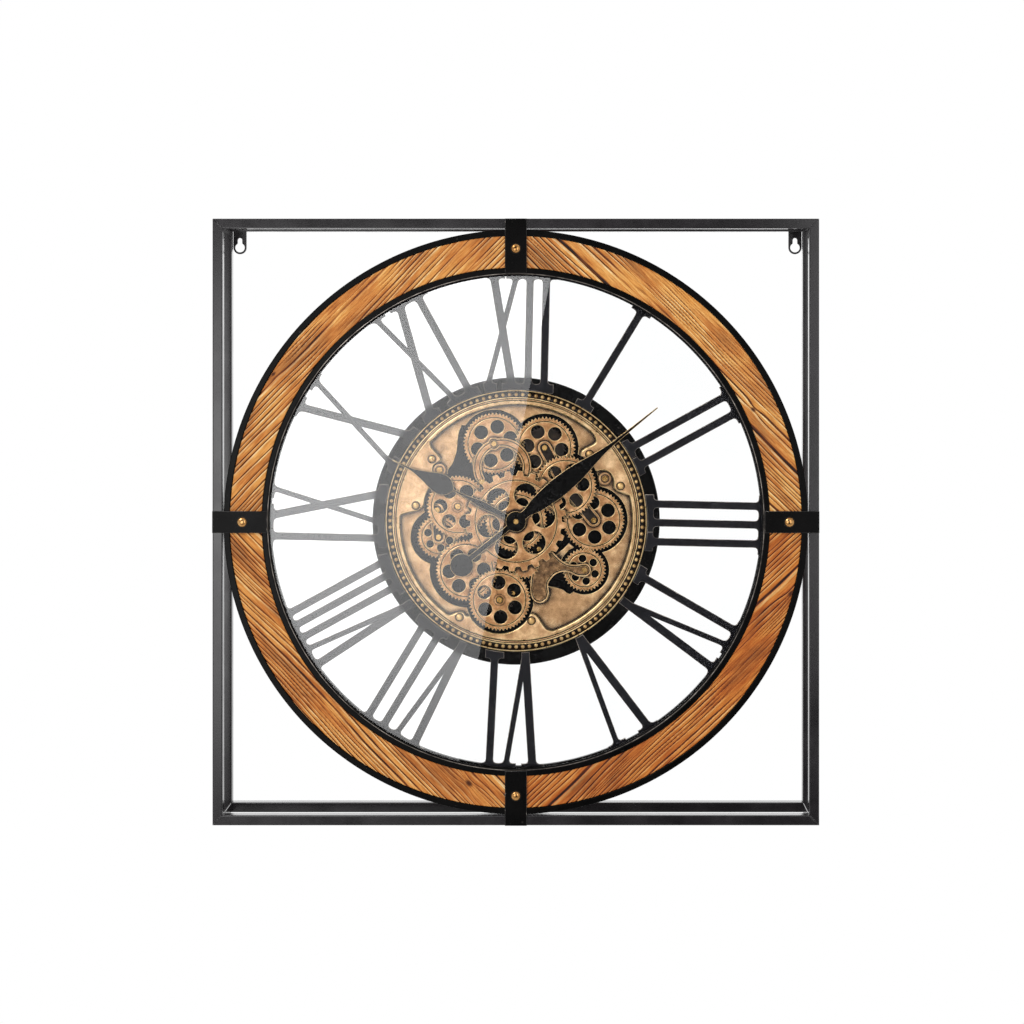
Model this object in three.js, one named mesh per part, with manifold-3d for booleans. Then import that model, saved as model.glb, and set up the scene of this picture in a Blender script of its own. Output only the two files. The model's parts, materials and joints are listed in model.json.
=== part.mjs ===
// Gear wall clock: a square tube frame carries a wooden ring, and inside the ring a glazed
// open dial with cut-out Roman numerals holds a turning train of bronze wheels.
// Millimetres and degrees. The origin lies on the wall plane, on the axis of the hands.
// +Z is up and the face looks along -Y, so a smaller y is nearer to the viewer.
import * as THREE from 'three';
import { mergeVertices } from 'three/addons/utils/BufferGeometryUtils.js';
import Module from 'manifold-3d';

const wasm = await Module();
wasm.setup();

// Driving dimensions of the frame and its hangers
const frameSide = 600;
const frameDepth = 60;
const tubeSize = 10;
const hangerSideGap = 1;
const hangerEdge = 1.2;
const hangerReach = 16;
const hangerThickness = 2.5;
const keyholeRadius = 4.8;
const slotWidth = 4.6;
const slotReach = 7.5;

// Driving dimensions of the ring, its straps and the glass
const ringGap = 1;
const outerHoopFace = 6;
const woodFace = 31.3;
const innerHoopFace = 5.1;
const lipThickness = 4.8;
const fitGap = 0.3;
const glassRecess = 1;
const glassThickness = 3;
const glassSeat = 1;
const lipReach = 1.6;
const strapWidth = 21.5;
const strapThickness = 1.5;
const boltHeadRadius = 4.5;
const boltHeadHeight = 2.5;
const boltShankRadius = 2;
const boltLength = 12;
const boltOffset = 3.3;

// Driving dimensions of the numerals
const numeralThickness = 1.5;
const numeralTurn = 1.3;
const numeralGap = 0.3;
const barWidth = 7.5;
const thickWidth = 8.2;
const thinWidth = 5.6;
const outerFootReach = 7;
const innerFootReach = 5.6;
const footHeight = 2.9;
const footFillet = 4;

// Driving dimensions of the dial pan, the bezel plate and the bridges
const flangeWidth = 12.5;
const panWall = 2;
const panFloor = 2.5;
const bezelGap = 0.3;
const rimWidth = 14.3;
const pocketMargin = 5;
const rimHeight = 6.5;
const sheetHeight = 3.9;
const cutoutGap = 3;
const cockFootRadius = 8.5;
const bridgeThickness = 1.5;
const bridgeHalfWidth = 6.5;
const bridgeEyeWall = 5;
const archOuterShare = 0.97;
const archInnerShare = 0.686;
const archBearing = -70.8;
const archFrom = -25;
const archTo = 215;
const pillarGap = 1.5;
const leftPillarBearing = 190;

// Driving dimensions of the wheels
const toothModule = 1.15;
const addendum = 0.95;
const toothTip = 0.45;
const backlash = 0.15;
const wheelThickness = 2.2;
const levelGap = 0.3;
const postRadius = 3;
const runningGap = 0.35;
const sleeveWall = 3;
const coarseTeeth = 24;
const coarseRootRadius = 45.5;
const coarseToothHeight = 4.5;
const coarsePhase = 85;
const coarseHoleShare = 0.25;
const coarseHoleCircleShare = 0.611;
const coarseHoleTurn = 10;

// Driving dimensions of the hands and their arbors
const handThickness = 1.2;
const handGap = 0.6;
const handToGlass = 1.1;
const minuteAngle = 51.2;
const hourAngle = 296.4;
const minuteHubRadius = 10.2;
const hourHubRadius = 9;
const minuteShare = 0.74;
const hourShare = 0.561;
const tailShare = 0.383;
const tailWidth = 5.4;
const counterweightRadius = 11.5;
const minuteShaftRadius = 1.9;
const arborGap = 0.5;
const hourTubeWall = 1.9;
const bushWall = 2.1;
const nutRadius = 2.6;
const nutToGlass = 0.4;

// Driving dimensions of the movement and the motor behind the dial
const movementHeight = 56;
const movementDrop = 15;
const caseGap = 3;
const motorHeight = 63;
const motorMargin = 2;
const caseWall = 2;
const arborPocket = 8;
const cellRadius = 7.1;
const cellLength = 49.5;
const cellNubRadius = 2.7;
const cellNubLength = 1;
const cellGap = 0.4;
const cellMargin = 4.5;
const knobRadius = 8;
const knobHeight = 4;
const switchTravel = 5;
const switchWidth = 4;
const switchHeight = 3.4;
const switchDepth = 3;
const switchProud = 2;

// Facets of the round pieces
const ringSteps = 80;
const discSteps = 60;
const wheelHoleSteps = 10;
const smallSteps = 10;
const sectorSteps = 8;
const cutoutSteps = 32;
const pocketSteps = 20;

// Radii of the ring, from the frame inward
const halfFrame = frameSide / 2;
const outerHoopRadius = halfFrame - tubeSize - ringGap;
const outerHoopBore = outerHoopRadius - outerHoopFace;
const woodOuterRadius = outerHoopBore - fitGap;
const woodInnerRadius = woodOuterRadius - woodFace;
const innerHoopRadius = woodInnerRadius - fitGap;
const glassBore = innerHoopRadius - innerHoopFace;
const glassRadius = glassBore - fitGap;
const seatRadius = glassBore - glassSeat;
const lipRadius = seatRadius - lipReach;
const hangerWidth = 2 * (keyholeRadius + hangerEdge);
const boltCircle = (woodOuterRadius + woodInnerRadius) / 2 + boltOffset;

// Depths, from the front towards the wall
const ringFront = -frameDepth;
const strapFront = ringFront - strapThickness;
const glassFront = ringFront + glassRecess;
const glassBack = glassFront + glassThickness;
const minuteFront = glassBack + handToGlass;
const minuteBack = minuteFront + handThickness;
const hourFront = minuteBack + handGap;
const hourBack = hourFront + handThickness;
const numeralFront = hourBack + handGap;
const numeralBack = numeralFront + numeralThickness;
const ringBack = numeralBack + lipThickness;
const flangeBack = numeralBack + panWall;

// Levels of the wheels: 1 is the coarse wheel, and the bridges lie between 2 and 3
const levelStep = wheelThickness + levelGap;
const bridgeFront = numeralFront + 2 * levelStep;
const bridgeBack = bridgeFront + bridgeThickness;
const levelFront = {
  1: numeralFront,
  2: numeralFront + levelStep,
  3: bridgeBack + levelGap,
  4: bridgeBack + levelGap + levelStep,
};
const floorFront = levelFront[4] + levelStep;
const floorBack = floorFront + panFloor;

// Arbors, from the minute hand's shaft outward
const hourTubeBore = minuteShaftRadius + arborGap;
const hourTubeRadius = hourTubeBore + hourTubeWall;
const bushBore = hourTubeRadius + arborGap;
const bushRadius = bushBore + bushWall;
const sleeveRadius = postRadius + runningGap + sleeveWall;

// Cases behind the dial, sized to hold a cell
const caseDepth = 2 * (cellRadius + cellGap) + caseWall;
const movementWidth = cellLength + 2 * (cellNubLength + cellGap + caseWall);
const motorWidth = movementWidth + 2 * motorMargin;
const motorDepth = caseDepth + motorMargin;
const motorTop = -movementDrop - caseGap;

const blackSteel = { color: 0x1d1b1b, roughness: 0.45, metalness: 0.6 };
const pineWood = { color: 0xc98a45, roughness: 0.6, metalness: 0 };
const copper = { color: 0xb06a3c, roughness: 0.35, metalness: 1 };
const clearGlass = { color: 0xdfe6e6, roughness: 0.03, metalness: 0, transparent: true, opacity: 0.25 };
const bronze = { color: 0xb98a52, roughness: 0.4, metalness: 0.9 };
const brass = { color: 0xd8b870, roughness: 0.3, metalness: 1 };
const blackPlastic = { color: 0x222222, roughness: 0.6, metalness: 0 };
const cellFilm = { color: 0x8a8f96, roughness: 0.35, metalness: 0.4 };

const clock = new THREE.Group();

const radians = (degrees) => degrees * Math.PI / 180;
const polar = (radius, angle) => [radius * Math.cos(angle), radius * Math.sin(angle)];
const shifted = (points, x, z) => points.map(([u, v]) => [u + x, v + z]);
const reachInside = (radius, steps) => radius / Math.cos(Math.PI / steps);

function arc(radius, from, to, steps) {
  const points = [];
  for (let i = 0; i <= steps; i += 1) {
    points.push(polar(radius, from + (to - from) * i / steps));
  }
  return points;
}

function circle(radius, steps = smallSteps) {
  return arc(radius, 0, 2 * Math.PI, steps).slice(0, steps);
}

// A flat plate between two depths, from an outline seen from the front
function plate(outline, front, back, holes = []) {
  const toVector = ([u, v]) => new THREE.Vector2(u, v);
  const shape = new THREE.Shape(outline.map(toVector));
  shape.holes = holes.map((hole) => new THREE.Path(hole.map(toVector)));
  const geometry = new THREE.ExtrudeGeometry(shape, { depth: back - front, bevelEnabled: false });
  return geometry.rotateX(Math.PI / 2).translate(0, back, 0);
}

// A turned piece about the y axis, from pairs of radius and depth
function turned(profile, steps) {
  return new THREE.LatheGeometry(profile.map(([r, y]) => new THREE.Vector2(r, y)), steps);
}

function ring(outer, inner, front, back, steps) {
  return turned([[outer, front], [outer, back], [inner, back], [inner, front], [outer, front]], steps);
}

function pin(radius, front, back, steps = smallSteps) {
  return plate(circle(radius, steps), front, back);
}

function block(lowX, highX, front, back, lowZ, highZ) {
  return plate([[lowX, lowZ], [highX, lowZ], [highX, highZ], [lowX, highZ]], front, back);
}

function toSolid(geometry) {
  const bare = geometry.clone();
  bare.deleteAttribute('normal');
  bare.deleteAttribute('uv');
  const merged = mergeVertices(bare, 1e-4);
  const corners = [];
  for (let i = 0; i < merged.index.count; i += 3) {
    const [a, b, c] = [0, 1, 2].map((k) => merged.index.getX(i + k));
    if (a !== b && b !== c && c !== a) corners.push(a, b, c);
  }
  return new wasm.Manifold(new wasm.Mesh({
    numProp: 3,
    vertProperties: new Float32Array(merged.attributes.position.array),
    triVerts: new Uint32Array(corners),
  }));
}

function toGeometry(solid) {
  const mesh = solid.getMesh();
  const geometry = new THREE.BufferGeometry();
  geometry.setAttribute('position', new THREE.BufferAttribute(mesh.vertProperties, 3));
  geometry.setIndex(new THREE.BufferAttribute(mesh.triVerts, 1));
  return geometry;
}

function joined(geometries) {
  return geometries.map(toSolid).reduce((sum, solid) => sum.add(solid));
}

function cut(solid, geometries) {
  return geometries.map(toSolid).reduce((left, tool) => left.subtract(tool), solid);
}

function addPiece(name, shape, finish, place = [0, 0, 0], turn = 0) {
  const geometry = shape.isBufferGeometry ? shape : toGeometry(shape);
  const mesh = new THREE.Mesh(geometry, new THREE.MeshStandardMaterial(finish));
  mesh.name = name;
  mesh.position.set(...place);
  mesh.rotation.y = radians(turn);
  clock.add(mesh);
}

function squareOutline(half) {
  return [[-half, -half], [half, -half], [half, half], [-half, half]];
}

function addFrame() {
  const outline = squareOutline(halfFrame);
  const opening = squareOutline(halfFrame - tubeSize);
  addPiece('front_frame', plate(outline, ringFront, ringFront + tubeSize, [opening]), blackSteel);
  addPiece('rear_frame', plate(outline, -tubeSize, 0, [opening]), blackSteel);
  const reach = halfFrame - tubeSize / 2;
  const half = tubeSize / 2;
  const corners = { top_left: [-1, 1], top_right: [1, 1], bottom_left: [-1, -1], bottom_right: [1, -1] };
  for (const [corner, [sideX, sideZ]] of Object.entries(corners)) {
    const post = block(-half, half, ringFront + tubeSize, -tubeSize, -half, half);
    addPiece(`corner_post_${corner}`, post, blackSteel, [sideX * reach, 0, sideZ * reach]);
  }
}

// A plate with a round lower end and a keyhole, hung from the rear top tube
function addHangers() {
  const half = hangerWidth / 2;
  const outline = [[half, hangerReach], [-half, hangerReach], ...arc(half, Math.PI, 2 * Math.PI, smallSteps)];
  const neck = Math.asin(slotWidth / 2 / keyholeRadius);
  const hole = [
    ...arc(keyholeRadius, Math.PI / 2 + neck, Math.PI * 5 / 2 - neck, smallSteps),
    ...shifted(arc(slotWidth / 2, 0, Math.PI, smallSteps / 2), 0, slotReach),
  ];
  const holeHeight = halfFrame - tubeSize - hangerReach;
  const hangerCentre = halfFrame - tubeSize - hangerSideGap - half;
  for (const [side, name] of [[-1, 'hanger_left'], [1, 'hanger_right']]) {
    const hanger = plate(outline, -hangerThickness, 0, [hole]);
    addPiece(name, hanger, blackSteel, [side * hangerCentre, 0, holeHeight]);
  }
}

function addHoops() {
  addPiece('outer_hoop', ring(outerHoopRadius, outerHoopBore, ringFront, ringBack, ringSteps), blackSteel);
  const profile = [
    [innerHoopRadius, ringFront],
    [innerHoopRadius, ringBack],
    [lipRadius, ringBack],
    [lipRadius, numeralBack],
    [seatRadius, numeralBack],
    [seatRadius, glassBack],
    [glassBore, glassBack],
    [glassBore, ringFront],
    [innerHoopRadius, ringFront],
  ];
  addPiece('inner_hoop', turned(profile, ringSteps), blackSteel);
  addPiece('glass_pane', pin(glassRadius, glassFront, glassBack, ringSteps), clearGlass);
}

// Four quarter arcs of wood, bored half and half for the bolts where they meet
function addWood() {
  const woodFront = ringFront + fitGap;
  const bore = reachInside(boltShankRadius + fitGap, smallSteps);
  const quarterSteps = ringSteps / 4;
  const names = ['wood_top_right', 'wood_bottom_right', 'wood_bottom_left', 'wood_top_left'];
  const halfJoint = (radius) => fitGap / 2 / radius;
  const outerJoint = halfJoint(woodOuterRadius);
  const innerJoint = halfJoint(woodInnerRadius);
  const outline = [
    ...arc(woodOuterRadius, outerJoint, Math.PI / 2 - outerJoint, quarterSteps),
    ...arc(woodInnerRadius, Math.PI / 2 - innerJoint, innerJoint, quarterSteps),
  ];
  const bores = [[boltCircle, 0], [0, boltCircle]].map(([x, z]) => (
    plate(shifted(circle(bore), x, z), woodFront - fitGap, ringBack + fitGap)
  ));
  const quarter = cut(toSolid(plate(outline, woodFront, ringBack)), bores);
  names.forEach((name, i) => addPiece(name, quarter, pineWood, [0, 0, 0], 90 * i));
}

function addStraps() {
  const half = strapWidth / 2;
  const outline = [[-half, glassBore], [half, glassBore], [half, halfFrame], [-half, halfFrame]];
  const hole = shifted(circle(reachInside(boltShankRadius + fitGap, smallSteps)), 0, boltCircle);
  const strap = plate(outline, strapFront, ringFront, [hole]);
  const shankEnd = ringFront + boltLength;
  const bolt = turned([
    [0, strapFront - boltHeadHeight],
    [boltHeadRadius * 0.6, strapFront - boltHeadHeight * 0.8],
    [boltHeadRadius, strapFront],
    [boltShankRadius, strapFront],
    [boltShankRadius, shankEnd],
    [0, shankEnd],
  ], smallSteps);
  bolt.translate(0, 0, boltCircle);
  ['12', '3', '6', '9'].forEach((hour, i) => {
    addPiece(`strap_${hour}`, strap, blackSteel, [0, 0, 0], 90 * i);
    addPiece(`strap_bolt_${hour}`, bolt, copper, [0, 0, 0], 90 * i);
  });
}

// Each stroke runs from an offset at the dial to one at the hoop; a bar is as wide at both
const bar = (inner, outer = inner) => ({ inner, outer, width: barWidth, footed: true });
const thick = (inner, outer, footed = true) => ({ inner, outer, width: thickWidth, footed });
const thin = (inner, outer, footed = true) => ({ inner, outer, width: thinWidth, footed });
const numerals = {
  1: [bar(-1.6)],
  2: [bar(-9), bar(10.6)],
  3: [bar(-20.2), bar(-1.7), bar(17.3)],
  4: [bar(-18, -20.2), thin(14, -3.5, false), thick(12, 23, false)],
  5: [thick(0.5, -17, false), thin(1, 18, false)],
  6: [thick(-12, -21.5, false), thin(-12.5, 4.5, false), bar(18.2, 21.2)],
  7: [thick(-17.5, -28.5, false), thin(-18, -8, false), bar(7.1), bar(25.1)],
  8: [thick(-21, -30, false), thin(-21.5, -12, false), bar(0.5), bar(14.4), bar(27.9)],
  9: [bar(-20), thick(24, 1, true), thin(-4, 27, true)],
  10: [thick(17.5, -14, true), thin(-15.5, 15, true)],
  11: [thin(4.5, -25.5, true), thick(-23, 1, true), bar(21.4)],
  12: [thick(-7.5, -27.2, true), thin(-30.5, -5.5, true), bar(8.6), bar(24.7)],
};

// One end of a stroke: from its edge through a fillet out to the foot, and back on the far side
function footPoints(stroke, end, slope) {
  const sign = end === 'outer' ? 1 : -1;
  const line = end === 'outer' ? lipRadius - footHeight : panRadius + bezelGap + 2 * footHeight;
  const tip = end === 'outer' ? seatRadius + footHeight : panRadius - footHeight;
  const middle = stroke[end];
  const half = stroke.width / 2;
  const edge = (side) => [middle + side * half, line];
  const before = (side) => [middle + side * half - sign * slope * footFillet, line - sign * footFillet];
  const after = (side) => [middle + side * (half + footFillet), line];
  const fillet = (side) => {
    const curve = new THREE.QuadraticBezierCurve(
      new THREE.Vector2(...before(side)),
      new THREE.Vector2(...edge(side)),
      new THREE.Vector2(...after(side)),
    );
    return curve.getPoints(3).map((point) => [point.x, point.y]);
  };
  const far = half + (end === 'outer' ? outerFootReach : innerFootReach);
  return [
    ...fillet(sign),
    [middle + sign * far, line],
    [middle + sign * far, tip],
    [middle - sign * far, tip],
    [middle - sign * far, line],
    ...fillet(-sign).reverse(),
  ];
}

function strokePlate(stroke) {
  const slope = (stroke.outer - stroke.inner) / (lipRadius - discRadius);
  const half = stroke.width / 2;
  const plainEnd = panRadius - footHeight;
  const innerEnd = stroke.footed
    ? footPoints(stroke, 'inner', slope)
    : [[stroke.inner - half, plainEnd], [stroke.inner + half, plainEnd]];
  return plate([...footPoints(stroke, 'outer', slope), ...innerEnd], numeralFront, numeralBack);
}

// Each numeral is trimmed to its own share of the ring between the dial pan and the hoop
function addNumerals() {
  const halfShare = 15 - numeralGap / 2;
  const from = radians(90 - halfShare);
  const to = radians(90 + halfShare);
  const sector = [
    ...arc(seatRadius - fitGap, from, to, sectorSteps),
    ...arc(panRadius + bezelGap, to, from, sectorSteps),
  ];
  const share = toSolid(plate(sector, numeralFront - 1, numeralBack + 1));
  for (const [hour, strokes] of Object.entries(numerals)) {
    const whole = joined(strokes.map(strokePlate)).intersect(share);
    addPiece(`numeral_${hour}`, whole, blackSteel, [0, 0, 0], 30 * hour + numeralTurn);
  }
}

// The wheels: each is placed at a bearing from the toothing that drives it
const train = {
  centre: { teeth: 52, level: 2 },
  left_upper: { teeth: 52, level: 2, from: 'centre', bearing: 166.1, holeTurn: 58.8, pinion: [27, 4] },
  left_lower: { teeth: 36, level: 4, from: 'left_upper', rear: true, bearing: -122.2, holeTurn: 40, room: 6.3 },
  right_upper: { teeth: 52, level: 2, from: 'centre', bearing: 34.8, holeTurn: 8, pinion: [24, 3] },
  top_right: {
    teeth: 52, level: 3, from: 'right_upper', rear: true, bearing: 118.5, holeTurn: 53.4, pinion: [36, 4],
  },
  top_left: { teeth: 52, level: 4, from: 'top_right', rear: true, bearing: 175.5, holeTurn: 19 },
  right: { teeth: 52, level: 3, from: 'right_upper', rear: true, bearing: -50.1, holeTurn: 33.7 },
  lower_right: { teeth: 36, level: 3, from: 'right', bearing: -100.6, holeTurn: 39 },
  drive: { teeth: 24, level: 2, from: 'centre', bearing: -78.3 },
  bottom: { teeth: 52, level: 2, from: 'drive', bearing: -125.4, holeTurn: 33.5, pinion: [24, 3] },
  bottom_left: { teeth: 52, level: 3, from: 'bottom', rear: true, bearing: 139, holeTurn: 3, room: 6 },
};
// Holes of a wheel: their radius and their circle, as shares of the pitch radius
const holeShares = { 52: [0.227, 0.572], 36: [0.179, 0.551] };

const pitchRadius = (teeth) => toothModule * teeth / 2;
const tipRadius = (teeth) => pitchRadius(teeth) + addendum;
const toothPitch = Math.PI * toothModule;
const toothWidth = toothPitch / 2 - backlash;
const dedendum = addendum * (toothPitch - toothWidth) / (toothWidth - toothTip);

// Gives each wheel its place and the turn that lets its teeth fall in its driver's gaps
function placeTrain() {
  for (const wheel of Object.values(train)) {
    wheel.place = [0, 0];
    wheel.phase = 0;
    wheel.pinionPhase = 0;
    if (!wheel.from) continue;
    const driver = train[wheel.from];
    const driverTeeth = wheel.rear ? driver.pinion[0] : driver.teeth;
    const driverPhase = wheel.rear ? driver.pinionPhase : driver.phase;
    const bearing = radians(wheel.bearing);
    const distance = pitchRadius(driverTeeth) + pitchRadius(wheel.teeth);
    const [dx, dz] = polar(distance, bearing);
    wheel.place = [driver.place[0] + dx, driver.place[1] + dz];
    const gap = bearing + Math.PI + (bearing - driverPhase) * driverTeeth / wheel.teeth;
    wheel.phase = gap - Math.PI / wheel.teeth;
  }
}

placeTrain();
const trainReach = Math.max(...Object.values(train).map((wheel) => (
  Math.hypot(...wheel.place) + tipRadius(wheel.teeth)
)));
const pocketRadius = trainReach + pocketMargin;
const panRadius = pocketRadius + rimWidth;
const discRadius = panRadius + flangeWidth;
const bezelRadius = panRadius - bezelGap;
const coarseTipRadius = coarseRootRadius + coarseToothHeight;
const trainUnit = pitchRadius(52);
const trainPoint = (across, up) => [across * trainUnit, up * trainUnit];

function toothedOutline(teeth, phase) {
  const tip = tipRadius(teeth);
  const root = pitchRadius(teeth) - dedendum;
  const halfTip = toothTip / 2 / tip;
  const points = [];
  for (let i = 0; i < teeth; i += 1) {
    const middle = phase + 2 * Math.PI * i / teeth;
    points.push(polar(tip, middle - halfTip));
    points.push(polar(tip, middle + halfTip));
    points.push(polar(root, middle + Math.PI / teeth));
  }
  return points;
}

function coarseOutline() {
  const pitch = 2 * Math.PI / coarseTeeth;
  const points = [];
  for (let i = 0; i < coarseTeeth; i += 1) {
    const middle = radians(coarsePhase) + i * pitch;
    points.push(polar(coarseRootRadius, middle - pitch * 0.3));
    points.push(polar(coarseTipRadius, middle - pitch * 0.2));
    points.push(polar(coarseTipRadius, middle + pitch * 0.2));
    points.push(polar(coarseRootRadius, middle + pitch * 0.3));
  }
  return points;
}

function holeCircle(count, radius, circleRadius, turn, steps = wheelHoleSteps) {
  const holes = [];
  for (let i = 0; i < count; i += 1) {
    const [x, z] = polar(circleRadius, radians(turn) + 2 * Math.PI * i / count);
    holes.push(shifted(circle(radius, steps), x, z));
  }
  return holes;
}

function wheelPlate(wheel, bore) {
  const front = levelFront[wheel.level];
  const [holeRadius, holeCircleRadius] = holeShares[wheel.teeth].map((share) => share * pitchRadius(wheel.teeth));
  const holes = holeCircle(6, holeRadius, holeCircleRadius, wheel.holeTurn);
  const eye = circle(bore);
  return plate(toothedOutline(wheel.teeth, wheel.phase), front, front + wheelThickness, [eye, ...holes]);
}

function addWheels() {
  const bore = reachInside(postRadius + runningGap, smallSteps);
  for (const [name, wheel] of Object.entries(train)) {
    if (name === 'centre' || name === 'drive') continue;
    const [x, z] = wheel.place;
    const plates = [wheelPlate(wheel, bore)];
    if (wheel.pinion) {
      const [teeth, level] = wheel.pinion;
      const front = levelFront[level];
      const back = front + wheelThickness;
      plates.push(plate(toothedOutline(teeth, wheel.pinionPhase), front, back, [circle(bore)]));
      plates.push(sleeve(bore, levelFront[wheel.level], back));
    }
    addPiece(`${name}_wheel`, joined(plates), bronze, [x, 0, z]);
  }
}

function sleeve(bore, front, back) {
  return plate(circle(bore + sleeveWall), front, back, [circle(bore)]);
}

// The coarse wheel in front and the fine wheel behind it turn together on the dial's bush
function addCentreWheel() {
  const bore = reachInside(bushRadius + runningGap, smallSteps);
  const front = levelFront[1];
  const back = levelFront[2] + wheelThickness;
  const coarseHoleCircle = coarseHoleCircleShare * coarseRootRadius;
  const holes = holeCircle(6, coarseHoleShare * coarseRootRadius, coarseHoleCircle, coarseHoleTurn, 16);
  const eye = circle(bore);
  const coarse = plate(coarseOutline(), front, front + wheelThickness, [eye, ...holes]);
  const [fineShare, fineCircleShare] = holeShares[52];
  const fineHoles = holeCircle(6, fineShare * trainUnit, fineCircleShare * trainUnit, coarseHoleTurn);
  const fineFront = levelFront[2];
  const fine = plate(toothedOutline(52, train.centre.phase), fineFront, back, [eye, ...fineHoles]);
  addPiece('centre_wheel', joined([coarse, fine, sleeve(bore, front, back)]), bronze);
}

// The pinion on the motor's output shaft
function addDrivePinion() {
  const wheel = train.drive;
  const [x, z] = wheel.place;
  const front = levelFront[wheel.level];
  const pinion = plate(toothedOutline(wheel.teeth, wheel.phase), front, front + wheelThickness);
  const shaft = pin(postRadius, front, floorBack + arborPocket - 1);
  addPiece('drive_pinion', joined([pinion, shaft]), bronze, [x, 0, z]);
}

function capsule(from, to, radius) {
  const along = Math.atan2(to[1] - from[1], to[0] - from[0]);
  const half = smallSteps / 2;
  return [
    ...shifted(arc(radius, along - Math.PI / 2, along + Math.PI / 2, half), ...to),
    ...shifted(arc(radius, along + Math.PI / 2, along + Math.PI * 3 / 2, half), ...from),
  ];
}

// The top bridge is an arch about a point below the wheel that it holds
const archOuterRadius = archOuterShare * trainUnit;
const archInnerRadius = archInnerShare * trainUnit;
const archMiddle = (archOuterRadius + archInnerRadius) / 2;

function archCentre() {
  return shifted([train.top_left.place], ...polar(archMiddle, radians(archBearing)))[0];
}

// Pillars of the dial pan that carry the arch's two feet and the far end of the left bridge
function pillarPlaces() {
  const feet = [archFrom, archTo].map((angle) => polar(archMiddle, radians(angle)));
  const leftReach = tipRadius(train.left_upper.pinion[0]) + postRadius + pillarGap;
  const leftEnd = polar(leftReach, radians(leftPillarBearing));
  return [
    ...shifted(feet, ...archCentre()),
    ...shifted([leftEnd], ...train.left_upper.place),
  ];
}

function addBridges() {
  const flat = (outline, holes) => plate(outline, bridgeFront, bridgeBack, holes);
  const arm = (from, to) => flat(capsule(from, to, bridgeHalfWidth));
  const arch = shifted([
    ...arc(archOuterRadius, radians(archFrom), radians(archTo), 24),
    ...arc(archInnerRadius, radians(archTo), radians(archFrom), 24),
  ], ...archCentre());
  const lobe = flat(shifted(circle(bridgeHalfWidth), ...train.top_left.place));
  addPiece('bridge_top', joined([flat(arch), lobe]), bronze);
  const elbow = train.right_upper.place;
  const eyeBore = reachInside(sleeveRadius + runningGap, smallSteps);
  const right = joined([
    arm(train.top_right.place, elbow),
    arm(elbow, train.right.place),
    flat(shifted(circle(eyeBore + bridgeEyeWall), ...elbow)),
  ]);
  const eye = plate(shifted(circle(eyeBore), ...elbow), bridgeFront - 1, bridgeBack + 1);
  addPiece('bridge_right', cut(right, [eye]), bronze);
  addPiece('bridge_left', arm(train.left_lower.place, pillarPlaces()[2]), bronze);
}

// The pan that the numerals carry, with the bush and the posts that the wheels run on
function addDialDisc() {
  const bushFront = levelFront[1] + levelGap;
  const wallOutside = panRadius + panWall;
  const profile = [
    [discRadius, numeralBack],
    [discRadius, flangeBack],
    [wallOutside, flangeBack],
    [wallOutside, floorBack],
    [bushBore, floorBack],
    [bushBore, bushFront],
    [bushRadius, bushFront],
    [bushRadius, floorFront],
    [panRadius, floorFront],
    [panRadius, numeralBack],
    [discRadius, numeralBack],
  ];
  const posts = [];
  for (const [name, wheel] of Object.entries(train)) {
    if (name === 'centre' || name === 'drive') continue;
    const front = wheel.level === 2 ? levelFront[2] - levelGap : bridgeBack;
    posts.push(plate(shifted(circle(postRadius), ...wheel.place), front, floorBack));
  }
  for (const place of pillarPlaces()) {
    posts.push(plate(shifted(circle(postRadius), ...place), bridgeBack, floorBack));
  }
  const shaftBore = reachInside(postRadius + runningGap, smallSteps);
  const shaftHole = plate(shifted(circle(shaftBore), ...train.drive.place), floorFront - 1, floorBack + 1);
  addPiece('dial_disc', cut(joined([turned(profile, discSteps), ...posts]), [shaftHole]), blackSteel);
}

// Pockets between the raised rim and the sheet: the bearings that each follows the rim between,
// and the points in train units that bring it back across the wheels
const pockets = [
  { from: 48.5, to: 136.5, points: [[-2.87, 2.62], [-2.84, 2.45], [-2.67, 2.25], [-2.51, 2.03], [-2.61, 1.95],
    [-2.74, 1.85], [-2.79, 1.69], [-2.72, 1.5], [-2.5, 1.3], [-1.2, 1.6], [1.2, 1.9], [2.05, 1.95], [2.12, 2.12],
    [2.16, 2.25], [2.22, 2.35], [2.39, 2.45], [2.59, 2.55], [2.66, 2.68]] },
  { from: -71.5, to: 12.5, points: [[3.46, 0.95], [3.26, 1.09], [3.26, 1.32], [3.16, 1.55], [2.99, 1.67],
    [2.69, 1.65], [2.5, 1.45], [2.2, 0.6], [1.9, -0.6], [1.2, -1.2], [0.7, -1.5], [0.3, -2.2], [0.2, -3],
    [0.32, -3.18], [0.46, -3.11], [0.62, -3.13], [0.76, -3.28], [0.89, -3.48], [1.02, -3.63]] },
  { from: 179, to: 232, points: [[-2.24, -3.15], [-2.07, -3.1], [-1.91, -3.05], [-1.77, -3.06], [-1.67, -3.18],
    [-1.5, -3.12], [-1.4, -2.6], [-1.5, -1.7], [-1.9, -0.7], [-2.4, -0.1], [-2.95, 0.5], [-3.14, 0.45],
    [-3.27, 0.35], [-3.61, 0.27], [-3.84, 0.19]] },
];
// Openings of the sheet beside the upper left wheel and beside the cock, in train units
const sheetOpenings = [
  [[-1.81, 3.18], [-1.91, 2.95], [-1.96, 2.61], [-1.98, 2.35], [-2.05, 2.08], [-2.15, 1.85], [-2.28, 1.65],
    [-2.1, 1.4], [-1.2, 1.5], [-0.9, 2.4], [-1.3, 3.1]],
  [[1.06, -2.19], [1.32, -2.24], [1.56, -2.32], [1.79, -2.46], [2, -2.2], [1.8, -1.7], [1.4, -1.6], [1, -1.8]],
];
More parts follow.
